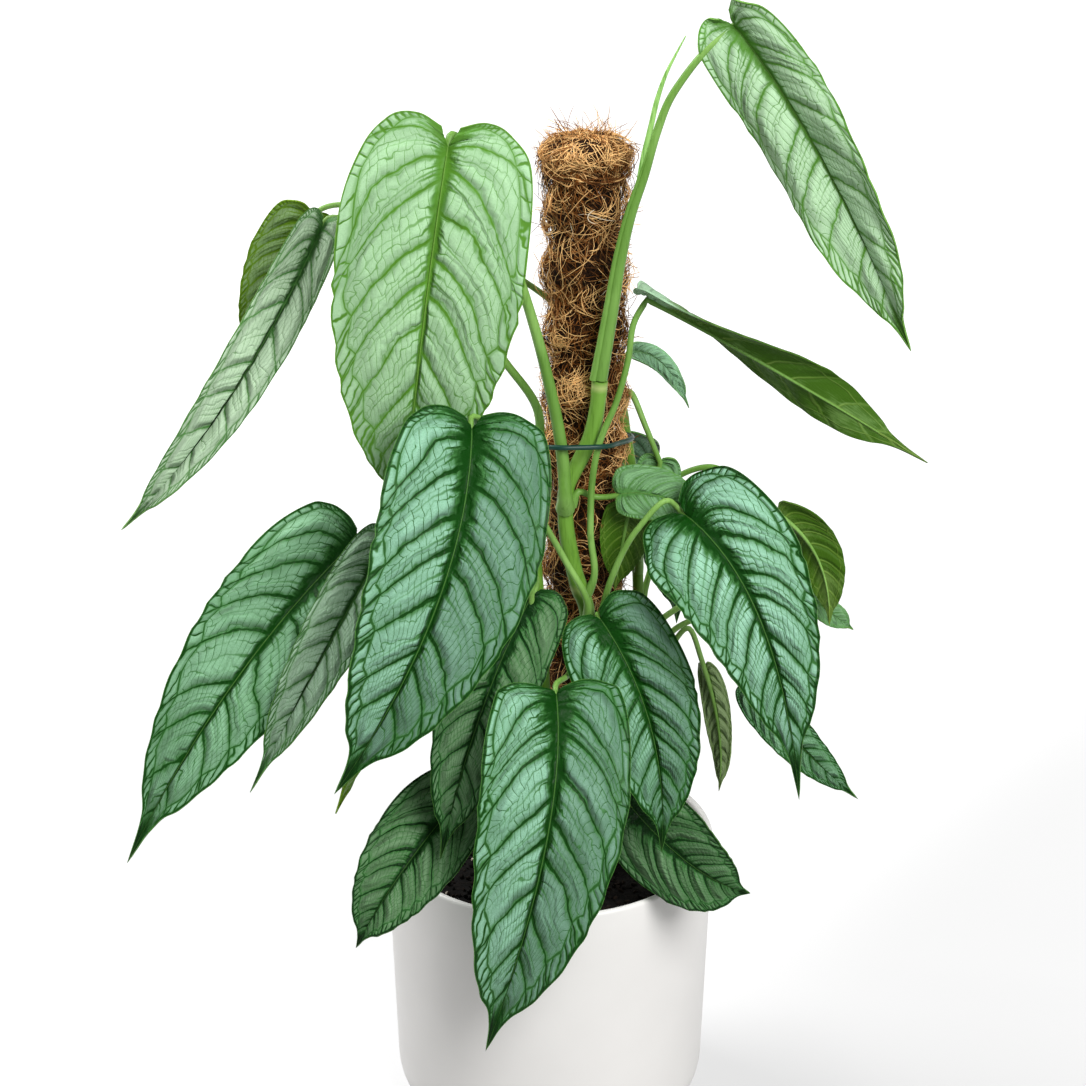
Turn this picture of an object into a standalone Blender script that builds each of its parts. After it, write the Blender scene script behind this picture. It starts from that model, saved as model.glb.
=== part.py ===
"""A potted Monstera siltepecana on a coir pole, in metres with +Z up.

The origin is the centre of the pot's flat underside. +X is to the viewer's
right and -Y is towards the viewer. The plant's own points are in millimetres,
because they were measured one by one, and are scaled once as they are read.
"""

import math
from dataclasses import dataclass

import bpy
import numpy as np

MM = 0.001
TOUCH_GAP = 0.0003

POT_RIM_RADIUS = 0.095
POT_HEIGHT = 0.180
POT_TAPER_DEG = 1.6
POT_CORNER_RADIUS = 0.036
POT_WALL = 0.0042
POT_SIDES = 48

SOIL_TOP = 0.168
SOIL_MOUND = 0.0035
SOIL_SIDES = 24
HOLE_SIDES = 12
CUTTER_TOP = 0.200

POLE_X = 0.0185
POLE_TOP = 0.594
COIR_RADIUS = 0.0215
COIR_BOTTOM = 0.070
COIR_SIDES = 16
COIR_RINGS = 35
COIR_PLAIN_TOP = 0.180
COIR_PITCH = 0.034
COIR_BULGE = 0.0013
COIR_LUMP = 0.0009
COIR_HEAD = 0.0035
COIR_WAIST = 0.0016
STAKE_RADIUS = 0.0125
STAKE_BOTTOM = 0.030
STAKE_TOP = 0.565

TIE_RADIUS = 0.0014
TIE_HEIGHT = 0.4365
TIE_FALL = 0.25

BLADE_THICKNESS = 0.0009
BLADE_LINES = (0.0, 0.1, 0.2, 0.31, 0.42, 0.53, 0.64, 0.75, 0.85, 0.94, 1.0)
BLADE_COLUMNS = 6
SMALL_LEAF_LENGTH = 0.095
SMALL_BLADE_LINES = (0.0, 0.15, 0.32, 0.5, 0.7, 0.88, 1.0)
SMALL_BLADE_COLUMNS = 4
STALK_SIDES = 5
STEM_SIDES = 7

# The right half of a blade's outline, from its notch round the lobe to the tip.
# Across is in half widths, and along is in lengths from the stalk to the tip.
OUTLINE = (
    (0.10, -0.050),
    (0.36, -0.072),
    (0.66, -0.045),
    (0.88, 0.035),
    (0.98, 0.160),
    (1.00, 0.300),
    (0.95, 0.450),
    (0.82, 0.600),
    (0.61, 0.740),
    (0.36, 0.855),
    (0.13, 0.930),
    (0.04, 0.965),
    (0.00, 1.000),
)


@dataclass
class Stem:
    """A climbing stem, with its points and its radii at the ends in millimetres."""

    name: str
    points: tuple
    radius_low: float
    radius_high: float
    joints: tuple = ()


@dataclass
class Leaf:
    """One leaf with its stalk, with every length in millimetres and turns in degrees."""

    name: str
    base: tuple
    middle: tuple
    tip: tuple
    half_width: float
    route: tuple = ()
    stem: str = ""
    foot_height: float = 0.0
    foot_turn: float = -90.0
    stalk: tuple = (1.9, 1.5)
    hook: float = 9.0
    roll: float = 0.0
    twist: float = 0.0
    fold: float = 0.32
    lobe: float = 1.0
    belly: float = 0.0
    wave: float = 2.0
    waves: float = 2.0
    facing: tuple = (0.0, -0.92, 0.40)
    tint: str = "leaf_green"


STEMS = (
    Stem(
        "vine_main",
        (
            (18, -44, 95),
            (18, -44, 140),
            (18, -44, 184),
            (19, -44, 225),
            (20, -44, 288),
            (20.5, -42, 323),
            (19.5, -39.5, 342),
            (15.5, -37.5, 353),
            (11, -35.5, 371),
            (8, -33.5, 394),
            (9, -30.8, 409),
            (14, -29.8, 420),
            (21, -30.5, 436),
            (24.6, -31, 453),
            (26, -31, 469),
        ),
        5.0,
        4.1,
        (185, 245, 305, 352, 402, 466),
    ),
    Stem(
        "vine_left",
        (
            (-4, -44, 100),
            (-4, -44, 140),
            (-4, -44, 184),
            (-3, -45, 225),
            (-3.5, -46, 288),
            (-5, -43, 330),
            (-8, -37, 369),
            (-8, -31, 400),
            (-6, -27, 425),
        ),
        4.4,
        3.0,
        (190, 240, 290, 335, 380, 422),
    ),
    Stem(
        "vine_back",
        (
            (50, 10, 105),
            (50, 10, 140),
            (50, 10, 184),
            (49, 10, 240),
            (50, 10, 298),
            (49, 13, 347),
            (46, 18, 394),
            (40, 24, 430),
            (33, 30, 462),
        ),
        4.2,
        2.6,
        (195, 250, 300, 345, 390, 430, 459),
    ),
)

SHOOT_POINTS = (
    (44.0, -33.1, 579),
    (46.8, -33.6, 591),
    (50.1, -33, 604),
    (53.4, -32, 619),
    (57.7, -31, 632),
    (63.1, -30, 643),
    (67.4, -29, 651),
)
SHOOT_RADII = (1.2, 1.5, 1.5, 1.3, 1.0, 0.7, 0.4)

TIE_POINTS = (
    (-8, -35.5),
    (-1, -42.5),
    (5.5, -44.8),
    (14, -44.2),
    (22, -42.6),
    (27, -41),
    (31, -37.5),
    (36, -27),
    (41.7, -14),
    (44.4, -3),
    (43, 9.5),
    (31.5, 23),
    (18.5, 26.3),
    (1.8, 20.2),
    (-7.3, 4.5),
    (-9.8, -10),
    (-11, -24),
)

LEAVES = (
    Leaf(
        "leaf_top_right",
        base=(92, -22, 655),
        middle=(140, -32, 585),
        tip=(187, -45, 490),
        half_width=25,
        belly=0.3,
        route=(
            (26.1, -31, 469.9),
            (32, -31, 508),
            (36.5, -31, 538),
            (41.6, -31, 561),
            (47.4, -30.6, 579),
            (54, -30, 603),
            (59.6, -29, 618),
            (66.5, -28, 629),
            (78, -25.5, 643),
        ),
        stalk=(3.9, 1.7),
        hook=0,
        roll=33,
        fold=0.7,
        wave=4.0,
        waves=3.0,
        tint="leaf_pale",
    ),
    Leaf(
        "leaf_top_left",
        base=(-51, -62, 603),
        middle=(-65, -82, 509),
        tip=(-78, -62, 398),
        half_width=49,
        fold=0.25,
        route=((7.2, -39, 420), (5.5, -39.5, 436), (-2.4, -41.5, 478), (-15, -46, 526), (-31, -54, 573)),
        stem="vine_main",
        foot_height=399,
        stalk=(3.6, 2.2),
        hook=4,
        tint="leaf_pale",
    ),
    Leaf(
        "leaf_outer_left",
        base=(-119, -15, 548),
        middle=(-169, -42, 462),
        tip=(-229, -50, 391),
        half_width=15,
        lobe=0.5,
        route=((-6, -26.8, 425.6), (-6.5, -25, 449), (-24, -24, 477), (-58, -22, 521), (-95, -18, 548)),
        stalk=(2.6, 1.6),
        hook=3,
        fold=1.0,
        tint="leaf_pale",
    ),
    Leaf(
        "leaf_outer_left_back",
        base=(-127, 12, 545),
        middle=(-147, 12, 509),
        tip=(-165, 8, 462),
        half_width=21,
        route=((20, 42, 470), (-40, 32, 520), (-90, 20, 548)),
        stem="vine_back",
        foot_height=444,
        foot_turn=120,
        hook=3,
        facing=(0.0, 0.92, 0.40),
        tint="leaf_pale",
    ),
    Leaf(
        "leaf_front_centre",
        base=(-40, -95, 466),
        middle=(-58, -138, 386),
        tip=(-111, -150, 287),
        half_width=44,
        lobe=0.7,
        route=((7.8, -50, 374), (-3, -58, 398), (-18, -72, 433), (-31, -86, 465)),
        stem="vine_main",
        foot_height=338,
        hook=7,
        roll=-15,
        tint="leaf_dark",
    ),
    Leaf(
        "leaf_outer_low_left",
        base=(-105, -30, 377),
        middle=(-169, -82, 316),
        tip=(-229, -100, 217),
        half_width=38,
        belly=-0.25,
        lobe=0.4,
        route=((-20, -30, 384), (-60, -27, 392), (-92, -25, 380)),
        stem="vine_left",
        foot_height=365,
        foot_turn=180,
        roll=8,
    ),
    Leaf(
        "leaf_low_left",
        base=(-88, -58, 386),
        middle=(-118, -90, 340),
        tip=(-159, -112, 267),
        half_width=18,
        roll=10,
        fold=0.5,
        route=((-20, -37, 368), (-55, -46, 386), (-80, -55, 390)),
        stem="vine_left",
        foot_height=340,
        foot_turn=200,
    ),
    Leaf(
        "leaf_mid_left",
        base=(-10, -52, 354),
        middle=(-38, -86, 298),
        tip=(-59, -114, 227),
        half_width=26,
        lobe=0.8,
        route=((-10, -54, 350), (-9, -58, 372)),
        stem="vine_left",
        foot_height=318,
        hook=4,
    ),
    Leaf(
        "leaf_front_low",
        base=(3, -90, 314),
        middle=(-3, -136, 246),
        tip=(-35, -142, 125),
        half_width=40,
        roll=-6,
        belly=0.2,
        lobe=0.45,
        route=((13, -57, 311), (8, -72, 315)),
        stem="vine_main",
        foot_height=296,
        hook=5,
        tint="leaf_dark",
    ),
    Leaf(
        "leaf_mid_right",
        base=(27, -56, 342),
        middle=(54, -84, 290),
        tip=(60, -98, 222),
        half_width=31,
        belly=-0.2,
        lobe=0.8,
        route=((27, -54, 340),),
        stem="vine_main",
        foot_height=308,
        foot_turn=-60,
        hook=4,
        tint="leaf_dark",
    ),
    Leaf(
        "leaf_front_right",
        base=(72, -50, 400),
        middle=(110, -97, 358),
        tip=(132, -110, 261),
        half_width=38,
        belly=-0.5,
        route=((32, -48, 360), (47, -52, 394), (62, -51, 409)),
        stem="vine_main",
        foot_height=330,
        foot_turn=-20,
        hook=5,
        roll=3,
        tint="leaf_dark",
    ),
    Leaf(
        "leaf_right_back",
        base=(128, 6, 377),
        middle=(150, 4, 350),
        tip=(157, 0, 312),
        half_width=15,
        route=((66, 16, 392), (88, 10, 404)),
        stem="vine_back",
        foot_height=352,
        foot_turn=0,
        facing=(0.2, 0.9, 0.4),
        tint="leaf_olive",
    ),
    Leaf(
        "leaf_small_right_back",
        base=(142, 22, 324),
        middle=(159, 20, 311),
        tip=(173, 18, 301),
        half_width=9,
        route=((80, 14, 322), (110, 20, 338)),
        stem="vine_back",
        foot_height=292,
        foot_turn=15,
        facing=(0.0, -0.6, 0.8),
    ),
    Leaf(
        "leaf_low_right",
        base=(113, -16, 280),
        middle=(140, -30, 252),
        tip=(173, -42, 224),
        half_width=13,
        route=((72, 12, 305), (98, 2, 316)),
        stem="vine_back",
        foot_height=262,
        foot_turn=10,
    ),
    Leaf(
        "leaf_hanging_right",
        base=(88, -8, 287),
        middle=(96, -16, 251),
        tip=(96, -22, 218),
        half_width=8,
        route=((64, 0, 290), (78, -4, 312)),
        stem="vine_back",
        foot_height=240,
        foot_turn=-40,
        facing=(0.3, 0.9, 0.3),
        tint="leaf_olive",
    ),
    Leaf(
        "leaf_rim_right",
        base=(46, -50, 223),
        middle=(78, -86, 207),
        tip=(109, -98, 197),
        half_width=27,
        roll=40,
        route=((30, -46, 222),),
        stem="vine_main",
        foot_height=198,
        foot_turn=-10,
        facing=(0.15, -0.65, 0.75),
        wave=3.0,
        tint="leaf_dark",
    ),
    Leaf(
        "leaf_rim_left",
        base=(-46, -62, 241),
        middle=(-80, -106, 215),
        tip=(-105, -120, 176),
        half_width=27,
        route=((-18, -48, 240), (-36, -54, 250)),
        stem="vine_left",
        foot_height=212,
        foot_turn=190,
        facing=(-0.2, -0.75, 0.6),
        tint="leaf_dark",
    ),
    Leaf(
        "leaf_under_left",
        base=(-50, -40, 285),
        middle=(-88, -68, 277),
        tip=(-116, -92, 243),
        half_width=20,
        route=((-20, -40, 280), (-38, -38, 290)),
        stem="vine_left",
        foot_height=255,
        foot_turn=170,
        facing=(0.0, 0.6, 0.8),
        tint="leaf_olive",
    ),
    Leaf(
        "leaf_far_right",
        base=(51, -22, 512),
        middle=(114, -32, 478),
        tip=(200, -40, 426),
        half_width=21,
        route=((21.5, -38.5, 385), (26.5, -37, 438), (35, -34, 459), (40.7, -30, 480), (44.2, -26, 501)),
        stem="vine_main",
        foot_height=350,
        foot_turn=-20,
        hook=0,
        stalk=(1.9, 1.7),
        facing=(0.0, 0.20, 0.98),
        twist=-140,
    ),
    Leaf(
        "leaf_behind_pole",
        base=(46, 28, 465),
        middle=(63, 30, 456),
        tip=(77, 30, 431),
        half_width=6,
        route=(),
        stem="vine_back",
        foot_height=450,
        foot_turn=30,
        hook=2,
        stalk=(1.5, 1.0),
    ),
    Leaf(
        "leaf_inner_pale",
        base=(38, -30, 404),
        middle=(64, -31, 401),
        tip=(92, -34, 383),
        half_width=16,
        route=((24, -29, 402),),
        stem="vine_main",
        foot_height=398,
        foot_turn=0,
        hook=2,
        facing=(0.0, -0.75, 0.65),
        tint="leaf_pale",
    ),
    Leaf(
        "leaf_inner_olive",
        base=(43, -27, 395),
        middle=(39, -33, 376),
        tip=(35, -36, 350),
        half_width=14,
        route=((50, -6, 357), (50, -16, 377), (47, -23, 392)),
        stem="vine_back",
        foot_height=340,
        foot_turn=-80,
        hook=3,
        facing=(0.2, 0.9, 0.3),
        tint="leaf_olive",
    ),
    Leaf(
        "leaf_inner_right",
        base=(66, 26, 368),
        middle=(72, 42, 338),
        tip=(74, 50, 290),
        half_width=26,
        route=((60, 22, 350),),
        stem="vine_back",
        foot_height=318,
        foot_turn=50,
        facing=(0.3, 0.9, 0.3),
    ),
    Leaf(
        "leaf_small_back",
        base=(60, 0, 411),
        middle=(57, 0, 388),
        tip=(54, 2, 363),
        half_width=13,
        route=((44, 14, 446), (52, 4, 430)),
        stem="vine_back",
        foot_height=436,
        foot_turn=-50,
        hook=0,
        facing=(0.1, 0.9, 0.4),
        tint="leaf_pale",
    ),
    Leaf(
        "leaf_back",
        base=(30, 60, 400),
        middle=(24, 98, 350),
        tip=(14, 112, 268),
        half_width=36,
        route=((44, 40, 392),),
        stem="vine_back",
        foot_height=370,
        foot_turn=90,
        facing=(0.0, 0.9, 0.4),
    ),
    Leaf(
        "leaf_back_left",
        base=(-30, 45, 330),
        middle=(-66, 76, 296),
        tip=(-92, 90, 232),
        half_width=32,
        route=((30, 44, 300), (0, 44, 325)),
        stem="vine_back",
        foot_height=270,
        foot_turn=110,
        facing=(-0.3, 0.8, 0.5),
    ),
)


# Small helpers for points, paths and meshes


def unit(vector):
    """The vector at length one."""
    return vector / np.linalg.norm(vector)


def metres(points):
    """Points in millimetres as an array in metres."""
    return np.array(points, dtype=float) * MM


def smooth_path(points, spacing):
    """Points at about one spacing along a smooth curve through the given points."""
    points = np.asarray(points, dtype=float)
    steps = np.linalg.norm(np.diff(points, axis=0), axis=1)
    along = np.concatenate(([0.0], np.cumsum(steps)))
    slopes = np.diff(points, axis=0) / steps[:, None]
    tangents = np.empty_like(points)
    tangents[0] = slopes[0]
    tangents[-1] = slopes[-1]
    before, after = steps[:-1, None], steps[1:, None]
    tangents[1:-1] = (slopes[1:] * before + slopes[:-1] * after) / (before + after)
    count = max(2, round(along[-1] / spacing) + 1)
    path = []
    for distance in np.linspace(0.0, along[-1], count):
        i = min(np.searchsorted(along, distance, side="right") - 1, len(steps) - 1)
        h = steps[i]
        t = (distance - along[i]) / h
        path.append(
            (2 * t**3 - 3 * t**2 + 1) * points[i]
            + (t**3 - 2 * t**2 + t) * h * tangents[i]
            + (3 * t**2 - 2 * t**3) * points[i + 1]
            + (t**3 - t**2) * h * tangents[i + 1]
        )
    return np.array(path)


def tube_rings(path, radii, sides):
    """A ring of points round each point of the path, square to it and without twist."""
    directions = np.gradient(path, axis=0)
    side = np.array((1.0, 0.0, 0.0)) if abs(unit(directions[0])[0]) < 0.8 else np.array((0.0, 1.0, 0.0))
    angles = np.arange(sides) * math.tau / sides
    rings = []
    for centre, direction, radius in zip(path, directions, radii):
        forward = unit(direction)
        side = unit(side - forward * (side @ forward))
        other = np.cross(forward, side)
        ring = centre + radius * (np.cos(angles)[:, None] * side + np.sin(angles)[:, None] * other)
        rings.append(ring)
    return rings


def loft(rings, closed=False):
    """Vertices and faces of the skin through equal rings, capped unless it closes on itself."""
    count = len(rings)
    sides = len(rings[0])
    vertices = np.concatenate(rings)
    faces = []
    for i in range(count if closed else count - 1):
        low, high = i * sides, (i + 1) % count * sides
        for k in range(sides):
            following = (k + 1) % sides
            faces.append((low + k, low + following, high + following, high + k))
    if not closed:
        faces.append(tuple(range(sides))[::-1])
        faces.append(tuple(range((count - 1) * sides, count * sides)))
    return vertices, faces


def lathe(profile, sides):
    """Rings turned about the Z axis from a profile of (radius, height) pairs."""
    angles = np.arange(sides) * math.tau / sides
    ring = np.stack((np.cos(angles), np.sin(angles)), axis=1)
    return [np.column_stack((ring * radius, np.full(sides, height))) for radius, height in profile]


def finish(name, mesh, colour, sharp_deg=40.0):
    """An object from a mesh, with a colour of its own and smooth shading."""
    mesh.shade_smooth()
    mesh.set_sharp_from_angle(angle=math.radians(sharp_deg))
    mesh.materials.append(MATERIALS[colour])
    placed = bpy.data.objects.new(name, mesh)
    bpy.context.scene.collection.objects.link(placed)
    return placed


def solid(name, shape, colour, sharp_deg=40.0):
    """An object from vertices and faces."""
    vertices, faces = shape
    mesh = bpy.data.meshes.new(name)
    mesh.from_pydata(np.asarray(vertices).tolist(), [], faces)
    return finish(name, mesh, colour, sharp_deg)


def apply_modifiers(target):
    """Replaces an object's mesh by its mesh with the modifiers worked out."""
    graph = bpy.context.evaluated_depsgraph_get()
    mesh = bpy.data.meshes.new_from_object(target.evaluated_get(graph))
    target.modifiers.clear()
    target.data = mesh


def cut(target, cutters):
    """Takes the cutters out of the target one after another."""
    for cutter in cutters:
        step = target.modifiers.new("cut", "BOOLEAN")
        step.operation = "DIFFERENCE"
        step.object = cutter
        apply_modifiers(target)
        bpy.data.objects.remove(cutter)


def join(target, added):
    """Joins another object to the target as one body."""
    step = target.modifiers.new("join", "BOOLEAN")
    step.operation = "UNION"
    step.solver = "MANIFOLD"
    step.object = added
    apply_modifiers(target)
    bpy.data.objects.remove(added)


def make_material(name, colour, roughness):
    """A plain dielectric material."""
    made = bpy.data.materials.new(name)
    made.use_nodes = True
    shader = made.node_tree.nodes["Principled BSDF"]
    shader.inputs["Base Color"].default_value = (*colour, 1.0)
    shader.inputs["Roughness"].default_value = roughness
    shader.inputs["Metallic"].default_value = 0.0
    return made


# The pot and the soil


def pot_outer_radius(height):
    """The radius of the pot's outer side at a height, above its rounded base corner."""
    return POT_RIM_RADIUS - (POT_HEIGHT - height) * math.tan(math.radians(POT_TAPER_DEG))


def pot_side(inset, bottom, corner, top):
    """Profile points from the edge of a flat bottom round a corner up to a height."""
    reach = pot_outer_radius(bottom + corner) - inset
    points = []
    for step in range(7):
        angle = math.radians(90.0 * step / 6)
        points.append((reach - corner + corner * math.sin(angle), bottom + corner - corner * math.cos(angle)))
    for step in range(1, 3):
        height = bottom + corner + (top - bottom - corner) * step / 2
        points.append((pot_outer_radius(height) - inset, height))
    return points


def make_pot():
    """A thin-walled tapered pot with a wide round corner at its base and a round lip."""
    lip = POT_WALL / 2
    outer = pot_side(0.0, 0.0, POT_CORNER_RADIUS, POT_HEIGHT - lip)
    inner = pot_side(POT_WALL, POT_WALL, POT_CORNER_RADIUS - POT_WALL, POT_HEIGHT - lip)
    round_lip = []
    for step in range(1, 6):
        angle = math.pi * step / 6
        round_lip.append((outer[-1][0] - lip + lip * math.cos(angle), POT_HEIGHT - lip + lip * math.sin(angle)))
    solid("pot", loft(lathe(outer + round_lip + inner[::-1], POT_SIDES)), "pot_white", 50.0)


def soil_height(x, y):
    """The uneven top of the potting mix, a little higher round the stems."""
    swell = math.sin(61 * x + 0.7) * math.cos(53 * y - 0.4) + 0.5 * math.sin(170 * x - 120 * y)
    heap = math.exp(-((x - POLE_X) ** 2 + y**2) / 0.0016)
    return SOIL_TOP + SOIL_MOUND * (0.4 * swell + heap)


def make_soil():
    """Potting mix that fills the pot, with plain holes for the pole and the stems."""
    side = pot_side(POT_WALL + TOUCH_GAP, POT_WALL + TOUCH_GAP, POT_CORNER_RADIUS - POT_WALL, SOIL_TOP)
    rings = lathe(side, SOIL_SIDES)
    edge = side[-1][0]
    for share in (0.94, 0.78, 0.6, 0.4, 0.2):
        rings.extend(lathe([(edge * share, 0.0)], SOIL_SIDES))
        for point in rings[-1]:
            point[2] = soil_height(point[0], point[1])
    soil = solid("soil", loft(rings), "soil_brown", 80.0)
    cutters = [
        post("hole", (POLE_X, 0.0), COIR_RADIUS + TOUCH_GAP, COIR_BOTTOM - TOUCH_GAP, COIR_SIDES),
        post("hole", (POLE_X, 0.0), STAKE_RADIUS + TOUCH_GAP, STAKE_BOTTOM - TOUCH_GAP, COIR_SIDES),
    ]
    for stem in STEMS:
        x, y, low = metres(stem.points[0])
        hole_radius = (stem.radius_low * MM + TOUCH_GAP) / math.cos(math.pi / HOLE_SIDES)
        cutters.append(post("hole", (x, y), hole_radius, low - TOUCH_GAP, HOLE_SIDES))
    cut(soil, cutters)


def post(name, centre, radius, low, sides):
    """An upright round bar, drawn as a wire because it only cuts."""
    rings = lathe([(radius, low), (radius, CUTTER_TOP)], sides)
    for ring in rings:
        ring[:, :2] += centre
    made = solid(name, loft(rings), "soil_brown")
    made.hide_render = True
    made.display_type = "WIRE"
    return made


# The pole and its tie


def coir_radius(angle, height):
    """The radius of the matted coir: bulges between its bindings and a fluffy head."""
    if height < COIR_PLAIN_TOP:
        return COIR_RADIUS
    bulge = COIR_BULGE * math.sin(math.tau * height / COIR_PITCH + 1.3 * math.sin(angle))
    lumps = COIR_LUMP * math.sin(3 * angle + 90 * height) * math.sin(140 * height + 2 * angle)
    head = COIR_HEAD * math.exp(-(((height - POLE_TOP + 0.011) / 0.012) ** 2))
    waist = COIR_WAIST * math.exp(-(((height - POLE_TOP + 0.028) / 0.006) ** 2))
    return COIR_RADIUS + bulge + lumps + head - waist


def make_pole():
    """A wooden stake in a sleeve of matted coir fibre, closed over its top."""
    stake = lathe([(STAKE_RADIUS, STAKE_BOTTOM), (STAKE_RADIUS, STAKE_TOP)], COIR_SIDES)
    for ring in stake:
        ring[:, 0] += POLE_X
    solid("pole_stake", loft(stake), "stake_wood")
    bore = STAKE_RADIUS + TOUCH_GAP
    rings = lathe([(bore, STAKE_TOP + TOUCH_GAP), (bore, COIR_BOTTOM), (COIR_RADIUS, COIR_BOTTOM)], COIR_SIDES)
    shoulder = POLE_TOP - 0.010
    for height in (COIR_PLAIN_TOP - 0.002, *np.linspace(COIR_PLAIN_TOP + 0.010, shoulder, COIR_RINGS)):
        rings.extend(lathe([(1.0, height)], COIR_SIDES))
        for point in rings[-1]:
            point[:2] *= coir_radius(math.atan2(point[1], point[0]), height)
    top_radius = COIR_RADIUS + COIR_HEAD
    for share, rise in ((0.86, 0.004), (0.6, 0.0085), (0.25, 0.010)):
        rings.extend(lathe([(top_radius * share, shoulder + rise)], COIR_SIDES))
    for ring in rings:
        ring[:, 0] += POLE_X
    solid("pole_coir", loft(rings), "coir_brown", 70.0)


def make_tie():
    """A plastic-coated garden tie, closed round the pole and the stems in front of it."""
    around = metres(TIE_POINTS + TIE_POINTS[:1])
    behind_front = around[:, 1:] - around[:, 1:].min()
    path = smooth_path(np.hstack((around, TIE_HEIGHT - TIE_FALL * behind_front)), 0.006)[:-1]
    rings = tube_rings(np.vstack((path[-1:], path, path[:1])), [TIE_RADIUS] * (len(path) + 2), STALK_SIDES)
    solid("tie", loft(rings[1:-1], closed=True), "tie_green")


# The stems and the rolled young leaf


def stem_point(name, height):
    """The centre and the radius of a stem at a height, in metres."""
    stem = next(one for one in STEMS if one.name == name)
    path = smooth_path(metres(stem.points), 0.002)
    nearest = int(np.argmin(abs(path[:, 2] - height)))
    share = nearest / (len(path) - 1)
    return path[nearest], (stem.radius_low + (stem.radius_high - stem.radius_low) * share) * MM


def make_stem(stem):
    """A round stem that tapers upwards and swells slightly where its leaves join."""
    path = smooth_path(metres(stem.points), 0.010)
    radii = []
    for index, point in enumerate(path):
        plain = stem.radius_low + (stem.radius_high - stem.radius_low) * index / (len(path) - 1)
        near = min(abs(point[2] / MM - height) for height in stem.joints)
        radii.append(MM * (plain + 0.35 * math.exp(-((near / 5.0) ** 2))))
        if point[2] < SOIL_TOP + 0.004:
            radii[-1] = stem.radius_low * MM
    solid(stem.name, loft(tube_rings(path, radii, STEM_SIDES)), "stem_green")


def make_shoot():
    """The youngest leaf, still rolled into a spike beside the highest stalk."""
    path = smooth_path(metres(SHOOT_POINTS), 0.007)
    share = np.linspace(0.0, 1.0, len(path))
    given = np.linspace(0.0, 1.0, len(SHOOT_RADII))
    radii = np.interp(share, given, metres(SHOOT_RADII))
    solid("young_shoot", loft(tube_rings(path, radii, STALK_SIDES)), "stem_green")


# The leaves


def outline_point(share):
    """The outline's (across, along) at a share of its length from the notch to the tip."""
    return OUTLINE_PATH[round(share * (len(OUTLINE_PATH) - 1))]


OUTLINE_PATH = smooth_path(OUTLINE, 0.005)


def vein_start(u):
    """How far along the midrib the cross line u leaves it, in lengths."""
    return 0.55 * u**2 + 0.45 * u**4


class Blade:
    """The curved surface of one leaf blade."""

    def __init__(self, leaf):
        self.leaf = leaf
        self.base = metres(leaf.base)
        self.tip = metres(leaf.tip)
        self.bend = 2 * metres(leaf.middle) - (self.base + self.tip) / 2
        self.phase = sum(ord(letter) for letter in leaf.name) % 7
        small = np.linalg.norm(self.tip - self.base) < SMALL_LEAF_LENGTH
        self.lines = SMALL_BLADE_LINES if small else BLADE_LINES
        self.columns = SMALL_BLADE_COLUMNS if small else BLADE_COLUMNS

    def midrib(self, along):
        """The midrib's point and its direction, straight on behind the stalk."""
        t = max(along, 0.0)
        point = (1 - t) ** 2 * self.base + 2 * t * (1 - t) * self.bend + t**2 * self.tip
        slope = 2 * (1 - t) * (self.bend - self.base) + 2 * t * (self.tip - self.bend)
        return point + min(along, 0.0) * slope, unit(slope)

    def frame(self, along):
        """The directions across the blade and out of its upper face."""
        _, forward = self.midrib(along)
        facing = np.array(self.leaf.facing)
        normal = unit(facing - forward * (facing @ forward))
        across = np.cross(normal, forward)
        turn = math.radians(self.leaf.roll + self.leaf.twist * max(along, 0.0) ** 2)
        turned = across * math.cos(turn) + normal * math.sin(turn)
        return turned, np.cross(forward, turned)

    def point(self, u, v):
        """The surface at cross line u from stalk to tip and at v across, from -1 to 1."""
        out = abs(v)
        edge_across, edge_along = outline_point(u)
        if edge_along < 0.0:
            edge_along *= self.leaf.lobe
        else:
            edge_along += self.leaf.belly * edge_along * (1 - edge_along)
        start = vein_start(u)
        across = edge_across * (1.1 * out * (1 - out) + out**2)
        along = start * (1 - out) ** 2 + 2 * out * (1 - out) * (0.65 * start + 0.35 * edge_along)
        along += edge_along * out**2
        centre, _ = self.midrib(along)
        sideways, normal = self.frame(along)
        lift = self.leaf.fold * across * (1 - 0.55 * across)
        ripple = math.sin(math.tau * self.leaf.waves * u + self.phase + (1.7 if v > 0 else 0.0))
        lift_mm = lift * self.leaf.half_width + self.leaf.wave * ripple * out**3 * (1 - u**4)
        width = math.copysign(across, v) * self.leaf.half_width * MM
        return centre + sideways * width + normal * lift_mm * MM, normal


def blade_mesh(blade):
    """A thin closed blade, split into triangles alike on both faces."""
    columns = blade.columns
    rows = []
    for u in blade.lines[:-1]:
        rows.append([blade.point(u, 2 * j / columns - 1) for j in range(columns + 1)])
    rows.append([blade.point(1.0, 0.0)])
    last = len(rows) - 1
    vertices = []
    for face_side in (0.5, -0.5):
        for row in rows:
            vertices.extend(point + normal * (BLADE_THICKNESS * face_side) for point, normal in row)
    layer = len(vertices) // 2
    middle = columns // 2

    def number(i, j):
        return i * (columns + 1) + (j if i < last else 0)

    upper = []
    for i in range(last):
        for j in range(columns):
            a, b = number(i, j), number(i + 1, j)
            c, d = number(i + 1, j + 1), number(i, j + 1)
            if i == last - 1:
                upper.append((a, b, d))
            elif j < middle:
                upper.extend(((a, b, c), (a, c, d)))
            else:
                upper.extend(((a, b, d), (b, c, d)))
    lower = [tuple(index + layer for index in reversed(face)) for face in upper]
    edge = [number(i, 0) for i in range(last + 1)]
    edge += [number(i, columns) for i in reversed(range(last))]
    edge += [number(0, j) for j in reversed(range(1, columns))]
    rim = [(a, a + layer, b + layer, b) for a, b in zip(edge, edge[1:] + edge[:1])]
    return vertices, upper + lower + rim


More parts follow.
